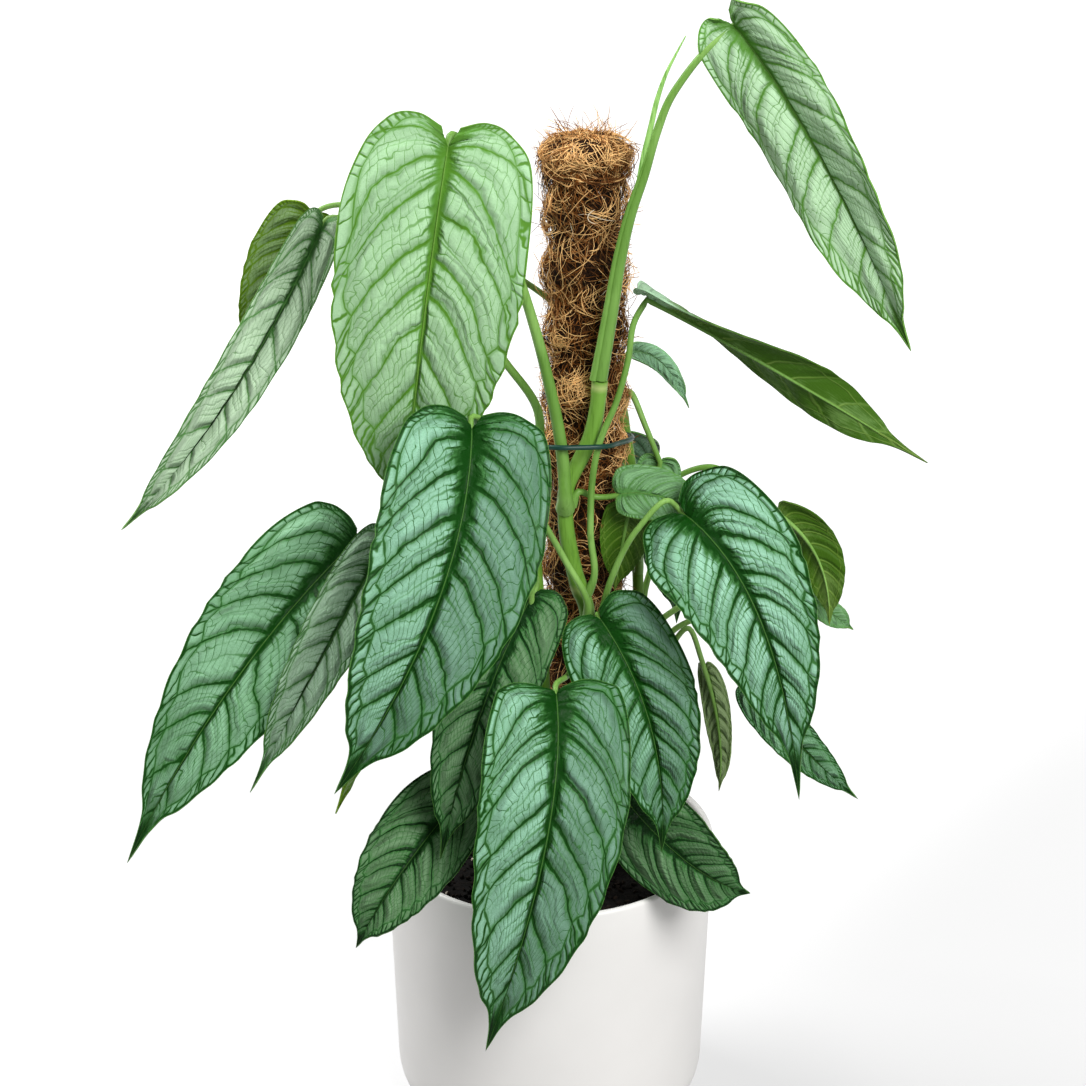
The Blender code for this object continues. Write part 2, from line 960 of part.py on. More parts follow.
def stalk_path(leaf, blade):
    """The stalk's centre line, from its foot on the stem to the underside of the midrib."""
    end_radius = leaf.stalk[1] * MM
    points = []
    if leaf.stem:
        centre, stem_radius = stem_point(leaf.stem, leaf.foot_height * MM)
        turn = math.radians(leaf.foot_turn)
        outward = np.array((math.cos(turn), math.sin(turn), 0.0))
        foot_radius = 0.5 * leaf.stalk[0] * MM
        points.append(centre + outward * (stem_radius + foot_radius + TOUCH_GAP))
        points.append(points[0] + outward * foot_radius * 1.6 + np.array((0.0, 0.0, 0.008)))
    points.extend(metres(leaf.route).reshape(-1, 3))
    base, forward = blade.midrib(0.0)
    under = -blade.frame(0.0)[1] * 0.8 * end_radius
    if leaf.hook:
        points.append(base + under - forward * leaf.hook * MM)
    points.append(base + under)
    path = smooth_path(points, 0.016)
    share = np.linspace(0.0, 1.0, len(path))
    radii = MM * (leaf.stalk[1] + (leaf.stalk[0] - leaf.stalk[1]) * (1 - share) ** 1.3)
    if leaf.stem:
        radii[0] *= 0.5
    ribs = [(base + under, radii[-1])]
    for u in blade.lines[2:4]:
        along = vein_start(u)
        centre, _ = blade.midrib(along)
        radius = end_radius * (1 - 1.3 * u)
        ribs.append((centre - blade.frame(along)[1] * (0.8 * radius), radius))
    path = np.vstack((path[:-1], [point for point, _ in ribs]))
    return path, np.concatenate((radii[:-1], [radius for _, radius in ribs]))


def make_leaf(leaf):
    """One leaf: a thin blade with its stalk joined under the midrib."""
    blade = Blade(leaf)
    made = solid(leaf.name, blade_mesh(blade), leaf.tint, 60.0)
    path, radii = stalk_path(leaf, blade)
    stalk = solid("stalk", loft(tube_rings(path, radii, STALK_SIDES)), leaf.tint)
    join(made, stalk)


for existing in list(bpy.data.objects):
    bpy.data.objects.remove(existing)

MATERIALS = {
    "pot_white": make_material("pot_white", (0.80, 0.79, 0.77), 0.55),
    "soil_brown": make_material("soil_brown", (0.020, 0.012, 0.008), 0.95),
    "stake_wood": make_material("stake_wood", (0.42, 0.26, 0.13), 0.80),
    "coir_brown": make_material("coir_brown", (0.23, 0.10, 0.035), 0.95),
    "tie_green": make_material("tie_green", (0.010, 0.075, 0.050), 0.40),
    "stem_green": make_material("stem_green", (0.15, 0.34, 0.05), 0.45),
    "leaf_green": make_material("leaf_green", (0.14, 0.34, 0.19), 0.50),
    "leaf_dark": make_material("leaf_dark", (0.08, 0.26, 0.12), 0.50),
    "leaf_pale": make_material("leaf_pale", (0.25, 0.48, 0.22), 0.50),
    "leaf_olive": make_material("leaf_olive", (0.12, 0.18, 0.02), 0.55),
}

make_pot()
make_soil()
make_pole()
make_tie()
for each_stem in STEMS:
    make_stem(each_stem)
make_shoot()
for each_leaf in LEAVES:
    make_leaf(each_leaf)
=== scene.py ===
# %% [markdown]
# # Dressing a silver-leaved monstera on its coir pole
#
# The solids of this plant are loaded as a fixed frame: a pot, its potting mix, a pole, three climbing
# stems, a tie and more than two dozen leaves. In this lesson each of them gets the form and the finish
# that it has on a living plant. The order is the one a grower would follow: camera and helpers first,
# then the pot and its mix, the pole with its fibres, the stems, and at last the leaves, which matter most.

# %% Load the frame
import math
from dataclasses import dataclass

import bpy
import numpy as np
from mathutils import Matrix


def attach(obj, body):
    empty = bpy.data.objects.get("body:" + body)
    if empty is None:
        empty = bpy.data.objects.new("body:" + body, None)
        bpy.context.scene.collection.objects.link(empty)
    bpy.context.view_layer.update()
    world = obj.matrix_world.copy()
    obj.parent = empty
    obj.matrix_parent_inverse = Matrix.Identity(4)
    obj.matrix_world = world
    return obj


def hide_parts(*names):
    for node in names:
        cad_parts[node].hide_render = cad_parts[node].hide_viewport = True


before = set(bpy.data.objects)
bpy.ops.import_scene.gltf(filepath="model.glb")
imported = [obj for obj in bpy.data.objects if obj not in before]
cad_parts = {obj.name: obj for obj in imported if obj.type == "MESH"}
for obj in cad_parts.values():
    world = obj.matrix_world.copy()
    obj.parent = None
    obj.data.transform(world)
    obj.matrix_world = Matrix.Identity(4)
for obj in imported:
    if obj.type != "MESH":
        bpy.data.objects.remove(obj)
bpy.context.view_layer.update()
bpy.ops.object.select_all(action="DESELECT")

# %% [markdown]
# ## The camera
#
# The plant was photographed from a little above with a long lens, so the pot's rim is a flat ellipse and
# the leaves near the lens hang in front of the pot. An 85 mm lens, 1.3 m in front of the pot's middle and
# turned 23.3 degrees down, lays the frame's rim and pole over those in the picture.

# %% Camera
CAMERA_PLACE = (-0.004, -1.306, 0.925)
CAMERA_DOWN_DEG = 23.3
bpy.ops.object.camera_add(location=CAMERA_PLACE, rotation=(math.radians(90 - CAMERA_DOWN_DEG), 0, 0))
camera = bpy.context.object
camera.data.lens = 85
camera.data.sensor_width = 36
camera.data.clip_end = 50
bpy.context.scene.camera = camera
print("Camera at", tuple(round(value, 3) for value in camera.location))

# %% [markdown]
# ## Shader maths as plain sums
#
# Leaf veins are easiest to think of as distances: so many millimetres from the midrib, so many from the
# nearest side vein. Drawn by hand, such a sum takes dozens of Math nodes. Here a small class holds a
# socket, and adding or multiplying two of them puts the Math node in its place. Every other kind of node
# comes from one method, which sets the node's own choices first and then its sockets.

# %% Sockets that take part in sums
def sign(operation, reflected=False):
    """A method for one sign of a sum, whose reflected form takes its values the other way round."""

    def method(self, other):
        return self.finish.math(operation, *((other, self) if reflected else (self, other)))

    return method


class Wire:
    """A value or colour in a material, as the output socket that carries it."""

    def __init__(self, finish, socket):
        self.finish = finish
        self.socket = socket

    def __abs__(self):
        return self.finish.math("ABSOLUTE", self)

    __add__, __radd__ = sign("ADD"), sign("ADD", True)
    __sub__, __rsub__ = sign("SUBTRACT"), sign("SUBTRACT", True)
    __mul__, __rmul__ = sign("MULTIPLY"), sign("MULTIPLY", True)
    __truediv__ = sign("DIVIDE")
    least, most = sign("MINIMUM"), sign("MAXIMUM")


class Finish:
    """A material under construction, with its Principled shader's fixed values set at once."""

    def __init__(self, name, **fixed):
        self.material = bpy.data.materials.new(name)
        self.material.use_nodes = True
        self.tree = self.material.node_tree
        self.shader = self.tree.nodes["Principled BSDF"]
        self.feed(**fixed)

    def put(self, socket, value):
        if isinstance(value, Wire):
            self.tree.links.new(value.socket, socket)
        elif socket.type == "RGBA":
            socket.default_value = (*value, 1.0)
        else:
            socket.default_value = value

    def feed(self, **values):
        for socket, value in values.items():
            self.put(self.shader.inputs[socket.replace("_", " ")], value)

    def node(self, kind, settings, values, output=0):
        made = self.tree.nodes.new("ShaderNode" + kind)
        for setting, value in settings.items():
            setattr(made, setting, value)
        for socket, value in values.items():
            self.put(made.inputs[socket], value)
        return Wire(self, made.outputs[output])

    def math(self, operation, *values):
        return self.node("Math", {"operation": operation}, dict(enumerate(values)))

    def vector(self, operation, output, *values):
        return self.node("VectorMath", {"operation": operation}, dict(enumerate(values)), output)

    def place(self):
        return self.node("TexCoord", {}, {}, "Object")

    def kept(self, name):
        """The number that a mesh keeps at each of its points under a name."""
        return self.node("Attribute", {"attribute_name": name}, {}, "Fac")

    def noise(self, scale, detail=2.0, where=None, distortion=0.0, stretch=None):
        """Cloudy noise, drawn out along an axis whose stretch is below 1."""
        where = where or self.place()
        if stretch:
            where = self.node("Mapping", {}, {"Vector": where, "Scale": stretch})
        values = {"Vector": where, "Scale": scale, "Detail": detail, "Distortion": distortion}
        return self.node("TexNoise", {}, values)

    def ease(self, value, low, high):
        """A smooth step, 0 below the low value and 1 above the high one."""
        values = {"Value": value, "From Min": low, "From Max": high}
        return self.node("MapRange", {"interpolation_type": "SMOOTHSTEP"}, values)

    def near(self, distance, full, gone):
        """1 within the first distance and 0 beyond the second."""
        return 1 - self.ease(distance, full, gone)

    def blend(self, factor, first, second):
        return self.node("Mix", {"data_type": "RGBA"}, {0: factor, 6: first, 7: second}, 2)

    def bump(self, height, depth, strength=1.0):
        return self.node("Bump", {}, {"Height": height, "Distance": depth, "Strength": strength})


def colour(red, green, blue):
    """A colour as the eye reads it, from 0 to 255 a channel, turned into light."""
    parts = (red, green, blue)
    return tuple(((part / 255 + 0.055) / 1.055) ** 2.4 if part > 10 else part / 3295 for part in parts)


def shaded(tone, share):
    """A colour made darker or lighter."""
    return tuple(part * share for part in tone)


print("Leaf silver as light:", [round(part, 3) for part in colour(163, 203, 183)])

# %% [markdown]
# ## Helpers for shapes
#
# Stems, stalks and ties are all round bars that bend, so they share one helper: a curve through the
# measured points, given a round bevel, then made a mesh. Every finished piece goes through another
# helper, which names it, smooths it, hands it its finishes and ties it to the frame.

# %% Shape helpers
MM = 0.001
SMOOTH_BELOW_DEG = 50


def unit(vectors):
    """Vectors at length one."""
    return vectors / np.linalg.norm(vectors, axis=-1, keepdims=True)


def metres(points):
    """Points in millimetres as an array in metres."""
    return np.array(points, dtype=float) * MM


def column(values):
    """Numbers as a column, to scale the rows of an array of vectors."""
    return np.asarray(values)[:, None]


def smooth_path(points, spacing):
    """Points at about one spacing along a smooth curve through the given points."""
    points = np.asarray(points, dtype=float)
    steps = np.linalg.norm(np.diff(points, axis=0), axis=1)
    along = np.concatenate(([0.0], np.cumsum(steps)))
    slopes = np.diff(points, axis=0) / column(steps)
    tangents = np.vstack((slopes[:1], slopes))
    before, after = column(steps[:-1]), column(steps[1:])
    tangents[1:-1] = (slopes[1:] * before + slopes[:-1] * after) / (before + after)
    distance = np.linspace(0.0, along[-1], max(2, round(along[-1] / spacing) + 1))
    i = np.clip(np.searchsorted(along, distance, side="right") - 1, 0, len(steps) - 1)
    h = column(steps[i])
    t = column(distance - along[i]) / h
    return (
        (2 * t**3 - 3 * t**2 + 1) * points[i]
        + (t**3 - 2 * t**2 + t) * h * tangents[i]
        + (3 * t**2 - 2 * t**3) * points[i + 1]
        + (t**3 - t**2) * h * tangents[i + 1]
    )


def pick(*pieces):
    """Leaves these pieces alone selected, and the last of them active."""
    bpy.ops.object.select_all(action="DESELECT")
    for piece in pieces:
        piece.select_set(True)
    bpy.context.view_layer.objects.active = pieces[-1]


def weld(piece, distance, outwards=True):
    """Merges doubled points and turns every face outwards, unless that is to be left."""
    bpy.context.view_layer.objects.active = piece
    bpy.ops.object.mode_set(mode="EDIT")
    bpy.ops.mesh.select_all(action="SELECT")
    bpy.ops.mesh.remove_doubles(threshold=distance)
    if outwards:
        bpy.ops.mesh.normals_make_consistent(inside=False)
    bpy.ops.object.mode_set(mode="OBJECT")


def placed(name, data):
    """A mesh or curve as an object in the scene."""
    piece = bpy.data.objects.new(name, data)
    bpy.context.collection.objects.link(piece)
    return piece


def round_bar(path, radii, sides=12, closed=False):
    """A bar of round section along a path: a bevelled curve that is made a closed mesh."""
    curve = bpy.data.curves.new("bar", "CURVE")
    curve.dimensions = "3D"
    curve.bevel_depth = 1.0
    curve.bevel_resolution = (sides - 4) // 2
    curve.use_fill_caps = True
    line = curve.splines.new("POLY")
    line.use_cyclic_u = closed
    line.points.add(len(path) - 1)
    line.points.foreach_set("co", np.column_stack((path, np.ones(len(path)))).ravel())
    line.points.foreach_set("radius", np.broadcast_to(radii, len(path)).astype(float))
    pick(placed("bar", curve))
    bpy.ops.object.convert(target="MESH")
    weld(bpy.context.object, 0.000002)
    return bpy.context.object


def mesh_piece(name, points, edges, faces):
    """A piece made straight from lists of points and of what joins them."""
    mesh = bpy.data.meshes.new(name)
    mesh.from_pydata(points, edges, faces)
    return placed(name, mesh)


def spin_profile(points, turns):
    """A closed solid of revolution, spun from a profile whose ends lie on the axis."""
    edges = [(i, i + 1) for i in range(len(points) - 1)]
    piece = mesh_piece("profile", [(radius, 0.0, height) for radius, height in points], edges, [])
    pick(piece)
    bpy.ops.object.mode_set(mode="EDIT")
    bpy.ops.mesh.select_all(action="SELECT")
    bpy.ops.mesh.spin(steps=turns, angle=math.tau, center=(0, 0, 0), axis=(0, 0, 1))
    bpy.ops.object.mode_set(mode="OBJECT")
    weld(piece, 0.00001)
    return piece


def places(mesh):
    """The points of a mesh as the rows of an array."""
    flat = np.empty(3 * len(mesh.vertices))
    mesh.vertices.foreach_get("co", flat)
    return flat.reshape(-1, 3)


def moved(mesh, rule):
    """Moves every point of a mesh by a rule on its x, y and z."""
    mesh.vertices.foreach_set("co", np.column_stack(rule(*places(mesh).T)).ravel())
    mesh.update()


def give(mesh, name, values):
    """Keeps one number for each point of a mesh, for its finish to read."""
    mesh.attributes.new(name, "FLOAT", "POINT").data.foreach_set("value", np.asarray(values, dtype=float))


def settle(piece, name, slot, finishes, *nodes):
    """Names a piece, smooths it, gives it its finishes and lets it stand for its nodes."""
    piece.name = piece.data.name = name
    pick(piece)
    bpy.ops.object.shade_smooth_by_angle(angle=math.radians(SMOOTH_BELOW_DEG))
    if finishes:
        piece.data.materials.clear()
    for finish in finishes:
        piece.data.materials.append(finish.material)
    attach(piece, "root")
    if nodes:
        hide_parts(*nodes)
    piece.select_set(False)
    piece.data.calc_loop_triangles()
    print(f"{name}: {len(piece.data.loop_triangles)} triangles")


# %% [markdown]
# ## The pot
#
# A thrown or cast pot is a solid of revolution, so its profile is drawn once and spun round the pot's
# axis. Two things make it read as glazed matt stoneware and not as plain plastic: the soft round lip that
# catches the light, and a very slight unevenness in the sheen. The mesh is spun rather than kept from the
# frame only because the frame's rim is a little too many-sided for a close look.

# %% Spin the pot
POT_RIM_RADIUS = 0.095
POT_HEIGHT = 0.180
POT_TAPER_DEG = 1.6
POT_CORNER_RADIUS = 0.036
POT_WALL = 0.0042
POT_SIDES = 128


def pot_radius(height, inset=0.0):
    """The radius of the pot's side at a height, less an inset."""
    return POT_RIM_RADIUS - (POT_HEIGHT - height) * math.tan(math.radians(POT_TAPER_DEG)) - inset


def pot_side(inset):
    """Profile points, inside the outer face by an inset, from the floor's centre up to below the lip."""
    corner = POT_CORNER_RADIUS - inset
    reach = pot_radius(inset + corner, inset)
    points = [(0.0, inset), (reach - corner, inset)]
    for angle in np.radians(np.linspace(7.5, 90, 12)):
        points.append((reach - corner + corner * math.sin(angle), inset + corner * (1 - math.cos(angle))))
    for height in np.linspace(inset + corner, POT_HEIGHT - POT_WALL / 2, 8)[1:]:
        points.append((pot_radius(height, inset), height))
    return points


lip = [
    (pot_radius(POT_HEIGHT, POT_WALL / 2 * (1 - math.cos(a))), POT_HEIGHT - POT_WALL / 2 * (1 - math.sin(a)))
    for a in np.linspace(0, math.pi, 9)[1:-1]
]
pot_shell = spin_profile(pot_side(0.0) + lip + pot_side(POT_WALL)[::-1], POT_SIDES)

stoneware = Finish("matt_white_stoneware", Roughness=0.42, Specular_IOR_Level=0.35, Coat_Weight=0.08)
clouds = stoneware.noise(22, 3)
stoneware.feed(
    Base_Color=stoneware.blend(clouds, colour(238, 236, 233), colour(230, 228, 225)),
    Roughness=stoneware.ease(clouds, 0.2, 0.8) * 0.08 + 0.40,
    Normal=stoneware.bump(stoneware.noise(900, 3), 0.00008, 0.35),
)
settle(pot_shell, "white_pot", "pot_white", [stoneware], "pot")

# %% [markdown]
# ## The potting mix
#
# The mix is drawn nearly black between its crumbs and brown on top of them, with some bark and a few
# pale grains. A single bumpy disc would look like felt. So a disc with a gentle heap carries more than
# a thousand loose crumbs, each turned and sized at random and half sunk into the disc.

# %% The bed of the mix
SOIL_TOP = 0.168
SOIL_MOUND = 0.0035
POLE_X = 0.0185
BED_RADIUS = pot_radius(SOIL_TOP, POT_WALL + 0.0003)
BED_DEPTH = 0.030


def soil_height(x, y):
    """The uneven top of the mix, a little higher round the pole."""
    swell = np.sin(61 * x + 0.7) * np.cos(53 * y - 0.4) + 0.5 * np.sin(170 * x - 120 * y)
    heap = np.exp(-((x - POLE_X) ** 2 + y**2) / 0.0016)
    fine = 0.25 * np.sin(410 * x + 3 * np.sin(330 * y)) * np.sin(390 * y + 2 * np.sin(290 * x))
    return SOIL_TOP + SOIL_MOUND * (0.4 * swell + heap + fine)


def heaped(x, y, z):
    """The bed's top lifted to the mix's uneven height, with its underside left flat."""
    share = np.clip((z - SOIL_TOP + BED_DEPTH) / BED_DEPTH, 0, 1)
    return x, y, z + (soil_height(x, y) - SOIL_TOP) * share


bed_profile = [(0.0, SOIL_TOP - BED_DEPTH), (BED_RADIUS - 0.001, SOIL_TOP - BED_DEPTH)]
bed_profile += [(BED_RADIUS * share, SOIL_TOP) for share in np.linspace(1, 0, 40)]
bed = spin_profile(bed_profile, 96)
moved(bed.data, heaped)

mix = Finish("potting_mix", Roughness=0.95, Specular_IOR_Level=0.2)
lumps = mix.noise(260, 6)
grit = mix.noise(1100, 4)
mix.feed(
    Base_Color=mix.blend(mix.ease(lumps * 0.6 + grit * 0.4, 0.42, 0.66), colour(4, 3, 2), colour(20, 14, 9)),
    Normal=mix.bump(lumps + grit * 0.5, 0.0016, 0.9),
)
settle(bed, "potting_mix", "soil_brown", [mix], "soil")

# %% [markdown]
# ## Crumbs on the mix
#
# The crumbs are icospheres pulled out of round, which keeps each one to eighty faces. They are laid by
# chance but never where the pole or a stem comes up, and each has its own shade.

# %% Scatter the crumbs
CRUMBS = 1100
BIG_CRUMB_EVERY = 23
KEEP_CLEAR = ((POLE_X, 0.0, 0.024), (0.018, -0.044, 0.007), (-0.004, -0.044, 0.007), (0.050, 0.010, 0.007))
chance = np.random.default_rng(11)


def scattered(shape, count, rule):
    """Many turned, sized and placed copies of a small shape as one mesh, with a shade for each."""
    base = places(shape)
    faces = np.array([tuple(face.vertices) for face in shape.polygons])
    points, indices, shades = [], [], []
    for number in range(count):
        place, size, shade = rule(number)
        turn, _ = np.linalg.qr(chance.normal(size=(3, 3)))
        turn *= np.sign(np.linalg.det(turn))
        points.append(base * size @ turn.T + place)
        indices.append(faces + len(base) * number)
        shades.append(np.full(len(base), shade))
    piece = mesh_piece("scattered", np.concatenate(points).tolist(), [], np.concatenate(indices).tolist())
    give(piece.data, "shade", np.concatenate(shades))
    return piece


def crumb(number):
    """A free place on the mix for one crumb, its size and its shade."""
    while True:
        radius, angle = BED_RADIUS * math.sqrt(chance.random()) * 0.975, chance.random() * math.tau
        x, y = radius * math.cos(angle), radius * math.sin(angle)
        if all(math.hypot(x - a, y - b) > reach for a, b, reach in KEEP_CLEAR):
            break
    width = chance.uniform(0.0007, 0.0020) * (1.7 if number % BIG_CRUMB_EVERY == 0 else 1.0)
    size = width * np.array((1.0, chance.uniform(0.6, 1.0), chance.uniform(0.45, 0.8)))
    return np.array((x, y, soil_height(x, y) + 0.3 * width)), size, chance.random()


bpy.ops.mesh.primitive_ico_sphere_add(subdivisions=2, radius=1.0)
seed_shape = bpy.context.object
moved(seed_shape.data, lambda x, y, z: (x * (1 + 0.2 * np.sin(5 * y)), y * (1 + 0.2 * np.sin(4 * z)), z))
crumbs = scattered(seed_shape.data, CRUMBS, crumb)
bpy.data.objects.remove(seed_shape)

bark = Finish("crumbs_and_bark", Roughness=0.92, Specular_IOR_Level=0.2)
shade = bark.kept("shade")
crumb_colour = bark.blend(bark.ease(shade, 0.1, 0.9), colour(6, 4, 3), colour(28, 19, 12))
bark.feed(
    Base_Color=bark.blend(bark.ease(shade, 0.975, 0.98), crumb_colour, colour(190, 180, 165)),
    Normal=bark.bump(bark.noise(1400, 3), 0.0004, 0.8),
)
settle(crumbs, "soil_crumbs", "soil_brown", [bark])

# %% [markdown]
# ## The coir pole
#
# A coir pole is a stake wrapped in matted coconut fibre and bound with string. What the eye sees is loose
# fibre: arcs and loops of it in front of deep shadow. So the pole is built in layers. A lumpy core, painted
# nearly black as the shade between the fibres, closes every gap, and thousands of thin curved fibres lie on
# it at all angles, painted lighter towards the outside, as lit. A last few hairs stand away from the outline,
# and a brush of them stands up on the head.

# %% The core
POLE_TOP = 0.594
NECK = 0.5745
COIR_RADIUS = 0.0215
COIR_PLAIN_TOP = 0.180
CORE_DEPTH = 0.0036


def coir_radius(angle, height):
    """The radius of the matted sleeve, as on the frame: bulges between its bindings and a wider head."""
    bulge = 0.0016 * np.sin(math.tau * height / 0.034 + 1.3 * np.sin(angle))
    lumps = 0.0010 * np.sin(3 * angle + 90 * height) * np.sin(140 * height + 2 * angle)
    head = 0.0018 * np.exp(-(((height - POLE_TOP + 0.008) / 0.008) ** 2))
    waist = 0.0022 * np.exp(-(((height - NECK) / 0.004) ** 2))
    round_off = np.clip((height - POLE_TOP + 0.012) / 0.012, 0, 0.97)
    radius = COIR_RADIUS - 0.0005 + np.where(height > COIR_PLAIN_TOP, bulge + lumps + head - waist, 0.0)
    return radius * (1 - round_off**3.0) ** 0.4


def clump(angle, height):
    """Where the fibre is bunched, near 1, and where it leaves a hollow, near -1."""
    rows = np.sin(math.tau * height / 0.030 + 2.2 * np.sin(angle + 25 * height))
    small = np.sin(7 * angle - 150 * height + 3 * np.sin(2 * angle))
    return 0.6 * rows * np.sin(3 * angle + 70 * height) + 0.5 * small


def matted(x, y, z):
    """The plain bar pushed to the sleeve's radius, less some depth for the fibres, and rounded on top."""
    angle = np.arctan2(y, x)
    share = np.hypot(x, y) / COIR_RADIUS
    wanted = np.maximum(coir_radius(angle, z) - CORE_DEPTH + 0.0016 * clump(angle, z), 0.001)
    return POLE_X + np.cos(angle) * wanted * share, np.sin(angle) * wanted * share, z


core_heights = np.linspace(COIR_PLAIN_TOP - 0.030, POLE_TOP - 0.002, 180)
core_profile = [(0.0, core_heights[0])] + [(COIR_RADIUS, height) for height in core_heights]
core = spin_profile(core_profile + [(0.0, core_heights[-1])], 72)
moved(core.data, matted)

# The core is painted nearly black: it stands in for the shade in the gaps between the fibres.
core_shade = Finish("coir_shadow", Roughness=0.95, Specular_IOR_Level=0.15)
strands = core_shade.noise(340, 5, distortion=2.5)
tangle = core_shade.noise(150, 4, distortion=4.0)
depth = core_shade.ease(strands * 0.5 + tangle * 0.5, 0.40, 0.62)
core_shade.feed(
    Base_Color=core_shade.blend(depth, colour(14, 8, 3), colour(62, 36, 16)),
    Normal=core_shade.bump(strands + tangle, 0.002, 1.0),
)
settle(core, "coir_core", "coir_brown", [core_shade], "pole_coir")

# %% [markdown]
# ## Fibres by the thousand
#
# Modelling a fibre by hand and copying it would give thousands of identical hooks. Each is drawn by chance
# instead: a start on the sleeve, a heading, a steady turn to one side and a slight lift off the surface.
# Three sides are enough for a bar a third of a millimetre thick, and keep the whole coat light.

# %% Draw fibres on the sleeve
FIBRE_STEPS = 8
FIBRES_A_LOCK = 9
FIBRE_CORNERS = (0.5, 2.6, 4.7)
STRING_SHADE = 2.0
STEP = np.linspace(0.0, 1.0, FIBRE_STEPS)


def outwards(angle):
    """Level directions away from the pole's axis."""
    return np.stack((np.cos(angle), np.sin(angle), np.zeros_like(angle)), axis=-1)


def fibre_mesh(name, centres, outward, radii, shades):
    """Thin three-sided bars along rows of centres, with a shade for each bar or each of its steps."""
    count, steps, _ = centres.shape
    shades = np.broadcast_to(shades.reshape(count, -1), (count, steps))
    forward = unit(np.gradient(centres, axis=1))
    first = unit(np.cross(forward, outward) + 1e-9)
    second = np.cross(first, forward)
    taper = np.array([0.35] + [1.0] * (steps - 2) + [0.25])
    reach = (column(radii) * taper)[:, :, None]
    rings = [centres + reach * (math.cos(a) * first + math.sin(a) * second) for a in FIBRE_CORNERS]
    points = np.stack(rings, axis=2).reshape(-1, 3)
    start = np.arange(count)[:, None, None] * steps * 3 + np.arange(steps - 1)[None, :, None] * 3
    here, following = np.arange(3), (np.arange(3) + 1) % 3
    quads = np.stack((start + here, start + following, start + 3 + following, start + 3 + here), axis=-1)
    ends = column(np.arange(count)) * steps * 3
    caps = np.concatenate((ends + [2, 1, 0], ends + 3 * (steps - 1) + [0, 1, 2]))
    piece = mesh_piece(name, points.tolist(), [], quads.reshape(-1, 4).tolist() + caps.tolist())
    give(piece.data, "shade", np.repeat(shades.ravel(), 3))
    weld(piece, 0.0)
    return piece


def in_locks(count, own, values):
    """A column of one value a lock, from the given values, with a little of each fibre's own added."""
    return column(np.repeat(values, -(-count // len(values)))[:count] + chance.normal(0, own, count))


def lying_fibres(name, count, low, high, bright, lengths=(0.010, 0.032), hanging=0.0, lock=FIBRES_A_LOCK):
    """Curved fibres that lie in locks on the sleeve between two heights, a share of them hanging down."""
    locks = math.ceil(count / lock)
    length = chance.uniform(*lengths, count)
    heading = chance.uniform(0, math.tau, locks)
    heading = np.where(chance.random(locks) < hanging, -math.pi / 2 + chance.normal(0, 0.4, locks), heading)
    heading = in_locks(count, 0.32, heading)
    heading = heading + in_locks(count, 0.5, chance.normal(0, 3.0, locks)) * STEP * (1 - 0.5 * hanging)
    heading = heading + 0.25 * np.sin(7 * STEP + column(chance.uniform(0, 6, count)))
    stride = column(length) / (FIBRE_STEPS - 1)
    around = np.cumsum(np.cos(heading) * stride, axis=1)
    around = around + in_locks(count, 0.0018, chance.uniform(0, math.tau * COIR_RADIUS, locks))
    height = np.cumsum(np.sin(heading) * stride, axis=1)
    height = height + in_locks(count, 0.0018, chance.uniform(low, high, locks))
    height = np.clip(height, COIR_PLAIN_TOP - 0.012, POLE_TOP - 0.0015)
    angle = around / COIR_RADIUS
    rise = in_locks(count, 0.0005, chance.uniform(-0.0026, 0.0002, locks))
    rise = rise + column(np.abs(chance.normal(0, 0.0015, count))) * np.sin(math.pi * STEP)
    rise = rise + column(chance.exponential(0.0011, count)) * STEP**3
    bunch = clump(angle, height)
    rise = rise + 0.0013 * bunch
    outward = outwards(angle)
    centres = outward * (coir_radius(angle, height) + rise)[:, :, None]
    centres[:, :, 0] += POLE_X
    centres[:, :, 2] = height
    # Painted light and shade: outer fibres are lighter, as lit; those in hollows and under the head darker.
    shade_under_head = np.minimum(height[:, 3] - 0.586, 0) * 26 * (hanging > 0)
    shades = bright + 210 * (rise[:, 3] + 0.001) + 0.22 * bunch[:, 3] + shade_under_head
    shades = np.clip(shades + in_locks(count, 0.18, chance.normal(0, 0.16, locks))[:, 0], 0, 1.25)
    shades = np.where(chance.random(count) < 0.012, STRING_SHADE, shades)
    return fibre_mesh(name, centres, outward, chance.uniform(0.00009, 0.00023, count), shades)


fibre = Finish("coir_fibre", Roughness=0.75, Specular_IOR_Level=0.15)
shade = fibre.kept("shade")
speckled = shade + fibre.noise(700, 3) * 0.3
brown = fibre.blend(fibre.ease(speckled, 0.15, 0.75), colour(20, 10, 2), colour(126, 74, 24))
brown = fibre.blend(fibre.ease(speckled, 0.75, 1.25), brown, colour(244, 196, 130))
fibre.feed(Base_Color=fibre.blend(fibre.ease(shade, 1.5, 1.9), brown, colour(238, 222, 196)))

MIDDLE = 0.380
lower_coat = lying_fibres("lower_coat", 3700, COIR_PLAIN_TOP - 0.005, MIDDLE, 0.33)
settle(lower_coat, "coir_coat_low", "coir_brown", [fibre])
upper_coat = lying_fibres("upper_coat", 3900, MIDDLE, NECK - 0.001, 0.37)
settle(upper_coat, "coir_coat_high", "coir_brown", [fibre])

# %% [markdown]
# ## The head of the pole and its loose hairs
#
# On top the sleeve is cut and frayed: the fibres fold over a rounded edge. Their crown is painted bright,
# almost orange, as lit from above, and the fibres darker as they hang down the sides, as shaded. Below the
# head a few turns of pale binding string run right round, painted dark in the head's shade, with painted
# highlights.

# %% Head, hairs and binding
HEAD_CENTRE = np.array((POLE_X, 0.0, 0.5785))
HEAD_REACH = np.array((0.0214, 0.0214, 0.0132))
HEAD_SQUARENESS = 2.4
SHOULDER = 1.15
TOP_HAIRS_REACH = 0.020


